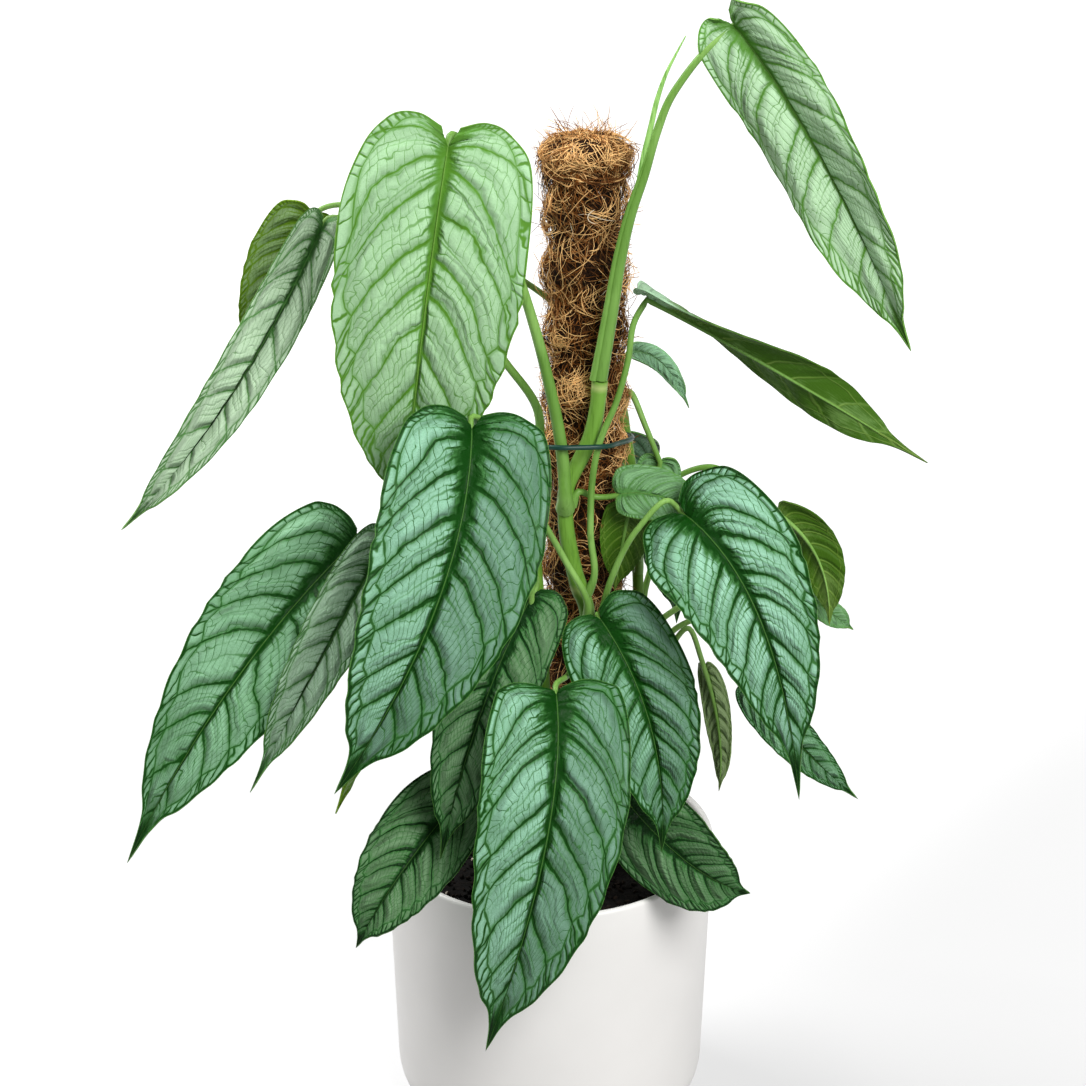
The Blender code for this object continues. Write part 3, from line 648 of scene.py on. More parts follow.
def head_fibres(count):
    """Locks that leave the crown on every side, bend over the shoulder and hang to the string, painted darker
    lower down.
    """
    locks = count // FIBRES_A_LOCK + 1
    first = np.abs(in_locks(count, 0.12, chance.uniform(0.0, 1.7, locks)))
    reach = column(chance.uniform(0.35, 1.15, count))
    slant = in_locks(count, 0.30, chance.normal(0, 0.5, locks))
    down = first + reach * np.cos(slant) * STEP
    turn = in_locks(count, 0.16, chance.uniform(0, math.tau, locks))
    turn = turn + reach * np.sin(slant) * STEP + column(chance.normal(0, 0.3, count)) * STEP**2
    over = np.maximum(down - SHOULDER, 0)
    down = np.minimum(down, SHOULDER)
    ways = np.stack((np.sin(down) * np.cos(turn), np.sin(down) * np.sin(turn), np.cos(down)), axis=-1)
    size = (np.abs(ways) ** HEAD_SQUARENESS).sum(axis=2, keepdims=True) ** (1 / HEAD_SQUARENESS)
    rise = in_locks(count, 0.05, chance.uniform(-0.16, 0.07, locks))
    lift = column(np.abs(chance.normal(0, 0.10, count))) * np.sin(math.pi * STEP)
    stray = column(chance.exponential(0.055, count)) * STEP**2
    centres = HEAD_CENTRE + ways / size * (1 + rise + lift + stray)[:, :, None] * HEAD_REACH
    centres[:, :, 2] -= in_locks(count, 0.002, chance.uniform(0.009, 0.021, locks)) * over
    # Painted light and shade: the crown and lifted fibres are lighter, as lit, and hanging fibres darker.
    own = 2.6 * rise + in_locks(count, 0.20, chance.normal(0.05, 0.24, locks))
    gone = in_locks(count, 0.2, chance.uniform(0.2, 1.5, locks))
    shades = np.clip(own + 1.50 - 0.50 * down - gone * over, 0, 1.3)
    return fibre_mesh("head", centres, unit(ways), chance.uniform(0.00009, 0.00024, count), shades)


def on_axis(heights):
    """Points on the pole's axis at some heights."""
    return np.column_stack((np.full(len(heights), POLE_X), np.zeros(len(heights)), heights))


def loose_hairs(count, top_count):
    """Hairs that leave the sleeve and its head and curl away from them."""
    total = count + top_count
    angle = chance.uniform(0, math.tau, total)
    height = chance.uniform(COIR_PLAIN_TOP + 0.01, POLE_TOP - 0.008, total)
    out = outwards(angle)
    start = out * column(coir_radius(angle, height) - 0.001) + on_axis(height)
    ahead = unit(out + chance.normal(0, 0.8, (total, 3)))
    top = np.arange(total) >= count
    spread = np.sqrt(chance.random(total)) * TOP_HAIRS_REACH
    level = POLE_TOP - 0.003 - 0.010 * (spread / TOP_HAIRS_REACH) ** 3
    start[top] = (out * column(spread) + on_axis(level))[top]
    ahead[top] = unit(out * 0.7 + chance.normal(0, 0.5, (total, 3)) + (0, 0, 0.9))[top]
    length = np.where(top, chance.uniform(0.003, 0.015, total), chance.uniform(0.003, 0.010, total))
    curl = np.cross(ahead, chance.normal(size=(total, 3)))
    step = STEP[None, :, None]
    centres = start[:, None] + length[:, None, None] * (ahead[:, None] * step + 0.6 * curl[:, None] * step**2)
    side = unit(np.cross(ahead, (0.3, 0.2, 0.9)))[:, None] + np.zeros_like(centres)
    shades = np.clip(chance.normal(0.75, 0.25, total), 0.2, 1.3)
    return fibre_mesh("hairs", centres, side, chance.uniform(0.00011, 0.00022, total), shades)


def binding_string(height, radius, painted_shade):
    """Four slightly wandering turns of string round the neck of the head, painted dark as shaded, with
    painted highlights.
    """
    angle = np.linspace(0, 4 * math.tau, 160)
    level = height + 0.0016 * np.sin(angle * 0.9) + 0.0006 * np.sin(5.3 * angle)
    path = on_axis(level) + outwards(angle) * column(radius + 0.0005 * np.sin(3.7 * angle))
    string = round_bar(path, 0.00036, 6)
    along = np.linspace(0, 1, len(string.data.vertices))
    # The string's dark tone is painted shade under the head, and its pale stretches are painted highlights.
    give(string.data, "shade", painted_shade + 1.2 * (np.sin(along * 31) > 0.75))
    return string


settle(head_fibres(1700), "coir_head", "coir_brown", [fibre])
fringe = lying_fibres("fringe", 1000, NECK - 0.004, POLE_TOP - 0.003, 0.55, (0.006, 0.020), 0.7)
settle(fringe, "coir_fringe", "coir_brown", [fibre])
strands = lying_fibres("strands", 80, COIR_PLAIN_TOP, POLE_TOP - 0.006, 1.25, (0.018, 0.045), lock=1)
settle(strands, "coir_strands", "coir_brown", [fibre])
settle(loose_hairs(1900, 260), "loose_hairs", "coir_brown", [fibre])
settle(binding_string(NECK, 0.0226, 0.30), "binding_string", "coir_brown", [fibre])

# %% [markdown]
# ## The stake
#
# Inside the sleeve stands a plain wooden stake. Nothing of it shows while the pole is whole, yet it is a
# piece of its own, so it keeps its solid and gets the grain that it would show if the sleeve were cut.

# %% Grain on the stake
timber = Finish("sawn_stake", Roughness=0.8)
rings = timber.noise(60, 4, stretch=(9, 9, 0.5))
timber.feed(Base_Color=timber.blend(rings, colour(190, 150, 104), colour(146, 104, 64)))
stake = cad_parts["pole_stake"]
for slot in stake.material_slots:
    slot.material = timber.material
print("Stake:", len(stake.material_slots), "material slot")

# %% [markdown]
# ## Stems
#
# The climbing stems are succulent: smooth, slightly glossy and finely streaked. They are painted darker low
# down and lighter higher up, as shade and light, with paler yellow patches painted as light that strikes
# them. Each swells at its joints, where a thin pale scar runs round. The points are the frame's own, so each
# new stem stands exactly in its hole in the mix.

# %% The stems' points and their finish
@dataclass
class Stem:
    """A climbing stem, with its radii at the ends, its joints' heights and its points in millimetres."""

    name: str
    radius_low: float
    radius_high: float
    joints: tuple
    points: tuple


STEMS = (
    Stem(
        "vine_main", 5, 4.1, (185, 245, 305, 352, 402, 466),
        (
            (18, -44, 95), (18, -44, 140), (18, -44, 184), (19, -44, 225), (20, -44, 288), (20.5, -42, 323),
            (19.5, -39.5, 342), (15.5, -37.5, 353), (11, -35.5, 371), (8, -33.5, 394), (9, -30.8, 409),
            (14, -29.8, 420), (21, -30.5, 436), (24.6, -31, 453), (26, -31, 469),
        ),
    ),
    Stem(
        "vine_left", 4.4, 3, (190, 240, 290, 335, 380, 422),
        (
            (-4, -44, 100), (-4, -44, 140), (-4, -44, 184), (-3, -45, 225), (-3.5, -46, 288),
            (-5, -43, 330), (-8, -37, 369), (-8, -31, 400), (-6, -27, 425),
        ),
    ),
    Stem(
        "vine_back", 4.2, 2.6, (195, 250, 300, 345, 390, 430, 459),
        (
            (50, 10, 105), (50, 10, 140), (50, 10, 184), (49, 10, 240), (50, 10, 298), (49, 13, 347),
            (46, 18, 394), (40, 24, 430), (33, 30, 462),
        ),
    ),
)

stem_skin = Finish("stem_skin", Roughness=0.42, Specular_IOR_Level=0.16)
streaks = stem_skin.noise(700, 3, stretch=(1, 1, 0.08))
height = stem_skin.node("SeparateXYZ", {}, {"Vector": stem_skin.place()}, "Z")
# Painted light and shade: stems are darker low down, as shaded, and lighter high up and in patches, as lit.
skin = stem_skin.blend(stem_skin.ease(height, 0.20, 0.46), colour(70, 110, 18), colour(112, 158, 60))
skin = stem_skin.blend(stem_skin.ease(streaks, 0.45, 0.75) * 0.5, skin, colour(62, 102, 18))
skin = stem_skin.blend(stem_skin.ease(stem_skin.noise(45, 2), 0.5, 0.8) * 0.35, skin, colour(138, 178, 84))
stem_skin.feed(
    Base_Color=stem_skin.blend(stem_skin.kept("joint"), skin, colour(176, 190, 120)),
    Normal=stem_skin.bump(streaks, 0.0002, 0.5),
)


def stem_piece(stem):
    """One stem with swollen joints and a scar round each."""
    path = smooth_path(metres(stem.points), 0.003)
    plain = np.linspace(stem.radius_low, stem.radius_high, len(path))
    near = np.min(np.abs(path[:, 2:] / MM - np.array(stem.joints)), axis=1)
    wave = 0.12 * np.sin(path[:, 2] * 90)
    radii = MM * (plain + wave + 0.55 * np.exp(-((near / 4.0) ** 2)) - 0.25 * np.exp(-(near**2)))
    radii = np.where(path[:, 2] < SOIL_TOP, stem.radius_low * MM, radii)
    made = round_bar(path, radii, 16)
    away = np.min(np.abs(places(made.data)[:, 2:] / MM - np.array(stem.joints)), axis=1)
    give(made.data, "joint", 0.8 * np.exp(-((away / 1.4) ** 2)))
    settle(made, stem.name.replace("vine", "stem"), "stem_green", [stem_skin], stem.name)


for stem in STEMS:
    stem_piece(stem)

# %% [markdown]
# ## The rolled young leaf and the tie
#
# The newest leaf is still a spike, rolled tight and paler than the rest. The tie is a thin wire in a
# glossy dark green coat, drawn round the pole and the stems in front of it and tucked in at the side.

# %% Young leaf and tie
SHOOT_POINTS = (
    (44, -33.1, 579), (46.8, -33.6, 591), (50.1, -33, 604), (53.4, -32, 619), (57.7, -31, 632),
    (63.1, -30, 643), (67.4, -29, 651),
)
SHOOT_RADII = (0.3, 1.2, 1.5, 1.4, 1.1, 0.7, 0.3)
TIE_POINTS = (
    (-8, -35.5), (-1, -42.5), (5.5, -44.8), (14, -44.2), (22, -42.6), (27, -41), (31, -37.5), (36, -27),
    (41.7, -14), (44.4, -3), (43, 9.5), (31.5, 23), (18.5, 26.3), (1.8, 20.2), (-7.3, 4.5), (-9.8, -10),
    (-11, -24),
)
TIE_RADIUS = 0.0014
TIE_HEIGHT = 0.4365
TIE_FALL = 0.25

spike_skin = Finish("rolled_leaf", Roughness=0.42, Specular_IOR_Level=0.22)
furrows = spike_skin.ease(spike_skin.noise(900, 2, stretch=(1, 1, 0.06)), 0.4, 0.7)
spike_skin.feed(Base_Color=spike_skin.blend(furrows, colour(150, 200, 108), colour(104, 156, 66)))
spike_path = smooth_path(metres(SHOOT_POINTS), 0.002)
share = np.linspace(0.0, 1.0, len(spike_path))
spike_radii = np.interp(share, np.linspace(0.0, 1.0, len(SHOOT_RADII)), metres(SHOOT_RADII))
settle(round_bar(spike_path, spike_radii, 10), "rolled_leaf", "stem_green", [spike_skin], "young_shoot")

tie_coat = Finish("tie_coat", Roughness=0.40, Specular_IOR_Level=0.3, Coat_Weight=0.05)
tie_coat.feed(Base_Color=tie_coat.blend(tie_coat.noise(260, 2), colour(6, 44, 36), colour(16, 66, 54)))
around = metres(TIE_POINTS + TIE_POINTS[:1])
behind_front = around[:, 1:] - around[:, 1:].min()
tie_path = smooth_path(np.hstack((around, TIE_HEIGHT - TIE_FALL * behind_front)), 0.002)[:-1]
settle(round_bar(tie_path, TIE_RADIUS, closed=True), "garden_tie", "tie_green", [tie_coat], "tie")

# %% [markdown]
# ## How a leaf of this plant is veined
#
# The upper face is silver between dark green veins. A broad dark band follows the midrib, with a thin
# pale line in its middle. Eight or so side veins a side leave it, thick at first, and sweep forward to a
# long vein that runs just inside the margin. Between them lie finer parallel veins and a net of cross
# veins, and outside the long vein a single row of small square cells. The margin itself is dark with a
# hair-thin pale edge.
#
# Each blade below is a grid bent to shape, so its own UV map says how far along and across the blade a
# point lies. The course of the side veins is worked out for each point with the shape and kept there as a
# number of turns, whole on a vein. Three more kept numbers, the gaps between veins, rows and columns
# there, let the finish turn all of that into millimetres.

# %% Distances to the veins
RIM_VEIN = 0.84
RIM_CELLS = 38
SIDE_VEINS = 8.0
SIDE_SHIFT = 0.22
FINE_VEINS = 3
CROSS_GAP = 7.2
FULL_VEIN_GAP = 11
FULL_COLUMN_GAP = 15


class LeafFinish(Finish):
    """A leaf face in which the distances to its veins are worked out once, for colour and relief."""

    def __init__(self, name, **fixed):
        super().__init__(name, **fixed)
        where = self.node("UVMap", {}, {})
        across = self.node("SeparateXYZ", {}, {"Vector": where}, "X") * 2 - 1
        self.along = along = self.node("SeparateXYZ", {}, {"Vector": where}, "Y")
        self.side = side = self.math("SIGN", across)
        row_gap, column_gap, vein_gap = (self.kept(name) for name in ("row_gap", "column_gap", "vein_gap"))
        turns, number = self.kept("turns"), self.kept("leaf_number")
        self.reach = (turns / SIDE_VEINS).most(0.0).least(1.0)
        self.room = (vein_gap / FULL_VEIN_GAP).least(1.0)
        self.slim = (column_gap / FULL_COLUMN_GAP).least(1.0)
        out = abs(across)
        self.inner = 1 - out
        self.from_midrib = out * column_gap
        self.from_edge = self.inner * column_gap

        bend, shake = self.noise(30, 1), self.noise(150, 1)
        turns = turns + side * SIDE_SHIFT + (bend - 0.5) * 0.40 + (shake - 0.5) * 0.12
        to_side_vein = self.to_line(turns)
        self.from_side_vein = to_side_vein * vein_gap
        self.from_half_vein = self.to_line(turns + 0.5) * vein_gap
        fine_turns = turns * FINE_VEINS + (bend - 0.5) * 1.2 + (shake - 0.5) * 0.7
        self.from_fine_vein = self.to_line(fine_turns) * vein_gap / FINE_VEINS

        rim = RIM_VEIN + (to_side_vein - 0.2) * 0.12
        self.puffed = self.near(out, rim - 0.22, rim + 0.03)
        self.within = self.near(out, rim - 0.02, rim + 0.02)
        self.from_rim_vein = abs(out - rim) * column_gap
        rung_turns = along * RIM_CELLS + (bend - 0.5) * 5 + (shake - 0.5) * 0.7
        self.from_rung = self.to_line(rung_turns) * row_gap / RIM_CELLS

        band = self.math("FLOOR", fine_turns) + side * 41 + number * 97
        start = self.node("TexWhiteNoise", {"noise_dimensions": "1D"}, {"W": band}, "Value")
        ladder = (self.from_midrib + along * (out * 90 + 50)) / CROSS_GAP + start + (self.noise(95, 1) - 0.5)
        self.from_cross_vein = self.to_line(ladder) * CROSS_GAP
        self.streak = self.spread(turns * 4.5, out * 3, number)
        self.flake = self.spread(turns * 5, out * 16, number)
        self.cloud = self.noise(36, 2)
        self.patch = self.noise(80, 2)

    def spread(self, x, y, z):
        """Noise laid out along the veins, at about -1 to 1."""
        where = self.node("CombineXYZ", {}, {"X": x, "Y": y, "Z": z * 3.7})
        return (self.noise(1.0, 2, where=where) - 0.5) * 4

    def to_line(self, turns):
        """How far, in turns, a value is from the nearest whole number."""
        return abs(self.math("FRACT", turns + 0.5) - 0.5)


print("Side veins a side:", SIDE_VEINS)

# %% [markdown]
# ## Silver on green
#
# The green is drawn as a set of masks, of which the strongest counts at each place. The dark band along
# the midrib and the roots of the side veins have ragged ends, because there the silver breaks up into
# fingers between the finest veins. The silver is painted palest on the crowns between the veins, as
# highlights, and darker in the hollows along the veins, as shade.

# %% The finish of an upper and of a lower face
SHADE_AND_MOTTLE_SHARES = (0.50, 0.64, 0.46)
MIDRIB_BAND = 8.5


def strongest(first, *others):
    """The strongest of several masks at each place."""
    for other in others:
        first = first.most(other)
    return first


def leaf_face(name, silver, dark, light, net=0.7, band=1.0, contrast=1.0, middle=(62, 116, 58), right=1.0):
    """The silver and green upper face of a leaf, with painted shade on its right half's silver, by a share.
    """
    face = LeafFinish(name, Roughness=0.46, Specular_IOR_Level=0.12)
    near, ease, blend, flake, within = face.near, face.ease, face.blend, face.flake, face.within
    silver, dark, light = (colour(*tone) for tone in (silver, dark, light))
    inner = face.inner * face.inner * face.inner
    rest = 1 - face.reach
    rest = rest * rest * rest
    slim = face.slim * band

    zone = rest * band * MIDRIB_BAND + slim * 1.1
    to_zone = near(face.from_midrib, zone, zone + 6.0)
    ragged = (face.streak * 0.7 + flake * 0.3) * (rest * 4.0 + face.slim * 0.5) * band
    midrib = near(face.from_midrib + ragged, zone * 0.3, zone * 1.2 + face.slim * 0.8)
    lobe_top = near(face.along + (face.streak * 0.06 + flake * 0.035) * band, 0.05, 0.26 * band) * 0.88
    tip = ease(face.along + flake * 0.01, 0.93, 0.97)

    root = (inner * 1.9 + 0.42) * face.room * band
    side_core = near(face.from_side_vein + flake * 0.2, root * 0.4, root * 0.8 + 0.30)
    side_haze = near(face.from_side_vein + flake * face.room, 0.1, root * 1.6 + face.room * 1.2) * 0.5
    root = (inner * 0.9 + 0.12) * band
    half_veins = near(face.from_half_vein + flake * 0.15, root * 0.4, root + 0.45)
    half_veins = half_veins * within * (inner * 0.4 + 0.25)
    root = to_zone * 0.45 + 0.06
    fine_veins = near(face.from_fine_vein + flake * 0.12, root * 0.3, root + 0.42)
    fine_veins = fine_veins * (to_zone * 0.30 + ease(face.patch, 0.3, 0.6) * 0.35 + 0.15) * within
    cross_veins = near(face.from_cross_vein, 0.05, 0.50) * ease(face.patch, 0.22, 0.48) * net * within

    rungs = near(face.from_rung + flake * 0.2, 0.10, 0.85) * (1 - within)
    rungs = rungs * (ease(face.patch, 0.3, 0.5) * 0.35 + 0.60)
    rim_vein = near(face.from_rim_vein + flake * slim * 0.25, slim * 0.15, slim * 0.75) * 0.75
    rim_haze = near(face.from_rim_vein + flake * slim * 0.6, 0.1, face.slim * 2.2) * 0.35
    margin = near(face.from_edge + flake * slim * 0.6, slim * 0.8, slim * 2.0)
    green = strongest(side_core, side_haze, half_veins, fine_veins, cross_veins, rungs)
    green = strongest(green, rim_vein, rim_haze, margin, midrib, lobe_top, tip)

    swell = ease(face.from_side_vein, 0.0, 4.5) * 0.8 + ease(face.from_half_vein, 0.0, 2.5) * 0.2
    crown = ease(face.from_fine_vein, 0.1, 1.7) * 0.18 + swell * 0.82
    mottle = face.noise(1300, 2)
    silver_shade_and_mottle = tuple(part * (1 + (share - 1) * contrast) for part, share in zip(silver, SHADE_AND_MOTTLE_SHARES))
    # Painted light and shade: crowns between the veins get a painted highlight, the hollows a painted shade.
    silvers = blend(crown, silver_shade_and_mottle, shaded(silver, 1.30))
    silvers = blend(ease(mottle, 0.35, 0.75) * 0.35, silvers, silver_shade_and_mottle)
    silvers = blend(ease(face.cloud, 0.45, 0.75) * 0.5, silvers, silver_shade_and_mottle)
    # Painted shade: the right half's silver is darkened by the given share.
    if right < 1.0:
        right_half_shaded = face.vector("MULTIPLY", 0, silvers, (right, right, right))
        silvers = blend(ease(face.side * -1, -1, 1), silvers, right_half_shaded)
    base = blend(ease(green, 0.0, 0.6), silvers, colour(*middle))
    base = blend(ease(green, 0.4, 1.0), base, blend(ease(face.cloud, 0.35, 0.7), dark, shaded(dark, 1.3)))
    rib = near(face.from_midrib, 0.15, 0.60)
    edge = near(face.from_edge, 0.10, 0.45)
    base = blend((rib * 0.55).most(edge * 0.6), base, light)

    side_crown = ease(face.from_side_vein, 0.0, 6.5) * 0.8 + swell * 0.3
    relief = ease(face.from_fine_vein, 0.0, 2.2) * 0.14 + ease(face.from_cross_vein, 0.0, 2.0) * 0.07
    relief = (relief + side_crown) * face.puffed * (1 - midrib * 0.7)
    cell = ease(face.from_rung, 0.0, 1.8) * ease(face.from_rim_vein, 0.0, 1.6) * (1 - within)
    relief = relief + cell * 0.25 + mottle * 0.05 + rib * 0.3
    relief = face.bump(relief, 0.0012 + 0.0020 * contrast)
    face.feed(Base_Color=base, Roughness=0.52 - green * 0.08, Normal=relief)
    return face


def leaf_back(name, ground, cell, vein, foot=None):
    """The underside, on which the veins stand out bright, and at its foot another tone where one is given."""
    back = LeafFinish(name, Roughness=0.55, Specular_IOR_Level=0.15)
    ground, cell, vein = (colour(*tone) for tone in (ground, cell, vein))
    side_veins = back.near(back.from_side_vein, 0.1, back.room + 0.6) * (back.inner * 0.6 + 0.3)
    cells = back.near(back.from_cross_vein, 0.05, 0.55) * 0.15
    rim_vein = back.near(back.from_rim_vein, 0.2, 0.7) * 0.5
    veins = strongest(side_veins, cells, rim_vein, back.near(back.from_midrib, 0.5, 1.3))
    field = back.blend(back.ease(back.cloud + back.flake * 0.12 + back.inner * 0.1, 0.45, 0.75), ground, cell)
    if foot:
        at_foot = back.near(back.along + back.streak * 0.02, 0.34, 0.44)
        field = back.blend(at_foot, field, colour(*foot))
        vein = back.blend(at_foot, vein, shaded(colour(*foot), 0.25))
    relief = back.bump(veins * 0.6 + back.ease(back.from_side_vein, 0.0, 6.0) * 0.8, 0.0010, 0.9)
    back.feed(Base_Color=back.blend(veins * 0.7, field, vein), Normal=relief)
    return back


# Each upper face: the silver, the green of the veins, the pale green of midrib and edge, how much of the
# net shows, how broad the green is, how deep the relief and the painted shade in its hollows, the tone
# between silver and green, and the right half's share of the silver, which paints shade on that half. Each
# lower face: the ground, its cells, the veins, and the foot. Three upper faces are lighter copies, which
# paint light on leaves that the lamps reach little, and the face in shade is a darker copy, painted shade.
UPPER = {
    "dark": ("silver_face_deep", (133, 177, 152), (8, 56, 4), (92, 146, 66), 0.84, 1.15),
    # Painted shade on the right half of the front leaves.
    "front": (
        "silver_face_front", (127, 171, 145), (8, 56, 4), (92, 146, 66), 0.84, 1.2, 1.0, (62, 116, 58), 0.62,
    ),
    "green": ("silver_face", (118, 160, 126), (10, 60, 6), (100, 154, 70), 0.8),
    "shade": ("silver_face_in_shade", (96, 128, 92), (8, 44, 8), (80, 128, 54), 0.8, 1.2),
    "pale": (
        "silver_face_young", (150, 186, 144), (72, 120, 32), (124, 172, 72), 0.55, 0.6, 0.45, (98, 148, 74),
    ),
    # Painted light: a lighter copy of the young face for the rolled top leaf.
    "top": (
        "silver_face_top", (160, 192, 154), (72, 120, 40), (124, 172, 80), 0.75, 0.8, 0.3, (104, 150, 84),
    ),
    "grey": (
        "silver_face_grey", (140, 168, 142), (44, 88, 36), (112, 156, 80), 0.4, 0.75, 0.75, (84, 124, 78),
    ),
    # Painted light: a lighter copy for the outer left leaf, which faces away from the lamps.
    "light": (
        "silver_face_light", (168, 192, 162), (66, 114, 54), (130, 170, 96), 0.5, 0.75, 0.5, (104, 144, 92),
    ),
    "plain": (
        "plain_young_face", (112, 154, 108), (76, 124, 60), (120, 166, 80), 0.3, 0.6, 0.3, (92, 138, 80),
    ),
    # Painted light: a lighter copy for the small leaf in shade behind the pole.
    "faint": (
        "faint_young_face", (150, 200, 158), (118, 170, 112), (140, 186, 110), 0.15, 0.45, 0.15,
        (136, 188, 138),
    ),
    "faded": ("faded_face", (138, 160, 112), (98, 126, 62), (150, 176, 110), 0.3, 0.5, 0.3, (120, 146, 88)),
    "turning": (
        "yellowing_face", (132, 162, 108), (84, 120, 16), (120, 150, 30), 0.7, 1.3, 0.5, (104, 138, 50),
    ),
}
LOWER = {
    "olive": ("olive_underside", (60, 98, 10), (92, 122, 52), (122, 154, 60)),
    "turned": ("turned_leaf", (54, 92, 6), (96, 132, 62), (118, 148, 66), (164, 200, 164)),
}
FACES = {key: leaf_face(*looks) for key, looks in UPPER.items()}
FACES |= {key: leaf_back(*looks) for key, looks in LOWER.items()}
print("Leaf finishes:", [face.material.name for face in FACES.values()])

# %% [markdown]
# ## The shape of a blade
#
# Every blade has the same outline: a shallow heart at the stalk, widest a third of the way down, then
# drawn into a long drip tip. What makes the leaves different is how they hang, so a leaf is described by
# three points of its midrib, a width, a fold, a roll and a wave. The rule is the frame's own, with far
# more rows and columns and a slimmer drip tip. A scalloped edge and the quilting between the side veins
# are added.

# %% The rule for a blade
OUTLINE = (
    (0.1, -0.05), (0.36, -0.072), (0.66, -0.045), (0.88, 0.035), (0.98, 0.16), (1.0, 0.3), (0.95, 0.45),
    (0.82, 0.6), (0.61, 0.74), (0.34, 0.85), (0.13, 0.905), (0.06, 0.945), (0.03, 0.975), (0.0, 1.0),
)
OUTLINE_PATH = smooth_path(OUTLINE, 0.005)
SHARES = np.linspace(0.0, 1.0, len(OUTLINE_PATH))
WIDTH_AHEAD = np.maximum.accumulate(OUTLINE_PATH[::-1, 0])[::-1]
SCALLOP = 0.035
QUILT = 0.052


@dataclass
class Leaf:
    """One leaf, in millimetres and degrees. Its foot is a stem's name, a height and a turn round it."""

    name: str
    base: tuple
    middle: tuple
    tip: tuple
    half_width: float
    route: tuple
    foot: tuple = ()
    stalk: tuple = (1.9, 1.5)
    hook: float = 9.0
    roll: float = 0.0
    twist: float = 0.0
    fold: float = 0.32
    lobe: float = 1.0
    belly: float = 0.0
    wave: float = 2.0
    waves: float = 2.0
    facing: tuple = (0.0, -0.92, 0.40)
    tint: str = "green"
    face: str = "green"


class Blade:
    """The curved surface of one leaf blade, worked out for many points at once."""

    def __init__(self, leaf):
        self.leaf = leaf
        self.base = metres(leaf.base)
        self.tip = metres(leaf.tip)
        self.bend = 2 * metres(leaf.middle) - (self.base + self.tip) / 2
        self.length = float(np.linalg.norm(self.tip - self.base))
        self.phase = sum(ord(letter) for letter in "leaf_" + leaf.name) % 7

    def midrib(self, along):
        """The midrib's points and directions, straight on behind the stalk."""
        t = column(np.maximum(along, 0.0))
        point = (1 - t) ** 2 * self.base + 2 * t * (1 - t) * self.bend + t**2 * self.tip
        slope = 2 * (1 - t) * (self.bend - self.base) + 2 * t * (self.tip - self.bend)
        return point + column(np.minimum(along, 0.0)) * slope, unit(slope)

    def frame(self, along):
        """The directions across the blade and out of its upper face."""
        _, forward = self.midrib(along)
        facing = np.array(self.leaf.facing)
        normal = unit(facing - forward * column(forward @ facing))
        across = np.cross(normal, forward)
        turn = column(np.radians(self.leaf.roll + self.leaf.twist * np.maximum(along, 0.0) ** 2))
        turned = across * np.cos(turn) + normal * np.sin(turn)
        return turned, np.cross(forward, turned)

    def turns(self, u, out, along):
        """How many side veins have left the midrib by here: those of the lobes fan out from the stalk."""
        sweep = (1.15 + 0.04 * self.phase) * self.leaf.half_width * MM * SIDE_VEINS / self.length
        bow = 0.45 * out + 0.55 * out**2
        crossing = SIDE_VEINS * along - sweep * bow * np.interp(u, SHARES, WIDTH_AHEAD) ** 0.8
        slow, quick = np.sin(2.4 * crossing + 2.1 * self.phase), np.sin(5.3 * crossing + 3.7 * self.phase)
        crossing += 0.13 * slow + 0.05 * quick
        fanning = 4.5 * u - 1.3 * bow - 1.35
        share = np.clip(crossing / 1.2, 0, 1)
        share = share * share * (3 - 2 * share)
        return share * crossing + (1 - share) * fanning

    def quilt(self, u, out, turns):
        """The blade's puckering between the side veins, in millimetres."""
        swell = np.abs(np.sin(math.pi * turns)) ** 0.7
        reach = np.clip(out / 0.25, 0, 1) * np.clip((RIM_VEIN + 0.04 - out) / 0.3, 0, 1) * (1 - u**3)
        return swell * reach * self.leaf.half_width * QUILT

    def surface(self, u, v):
        """Points and veins' turns of the blade's middle at rows u, 0 to 1, and columns v, -1 to 1."""
        leaf, out, shift = self.leaf, np.abs(v), np.sign(v) * SIDE_SHIFT
        edge_across = np.interp(u, SHARES, OUTLINE_PATH[:, 0])
        edge_along = np.interp(u, SHARES, OUTLINE_PATH[:, 1])
        full = edge_along + leaf.belly * edge_along * (1 - edge_along)
        edge_along = np.where(edge_along < 0.0, edge_along * leaf.lobe, full)
        start = 0.55 * u**2 + 0.45 * u**4
        scallops = SCALLOP * np.sin(math.pi * (self.turns(u, 1.0, edge_along) + shift)) ** 2
        edge_across = edge_across * (1 - scallops * out**2)
        across = edge_across * (1.1 * out * (1 - out) + out**2)
        along = start * (1 - out) ** 2 + 2 * out * (1 - out) * (0.65 * start + 0.35 * edge_along)
        along += edge_along * out**2
        centre, _ = self.midrib(along)
        sideways, normal = self.frame(along)
        lift = leaf.fold * across * (1 - 0.55 * across) * leaf.half_width
        ripple = np.sin(math.tau * leaf.waves * u + self.phase + np.where(v > 0, 1.7, 0.0))
        lift += leaf.wave * ripple * out**3 * (1 - u**4)
        turns = self.turns(u, out, along)
        lift += self.quilt(u, out, turns + shift)
        width = np.copysign(across, v) * leaf.half_width * MM
        return centre + sideways * column(width) + normal * column(lift * MM), turns


print("Outline points:", len(OUTLINE_PATH))

# %% [markdown]
# ## From a grid to a leaf
#
# A blade starts as a flat grid, which brings its UV map with it. Its points are moved to the rule's
# surface, the doubled points at the tip are merged, and a Solidify modifier gives it its thickness. A
# blade has one finish all over, that of the face it shows. The stalk is a bevelled curve that runs on
# under the blade as the midrib's ridge. Blade and stalk are then joined, because they grew as one.

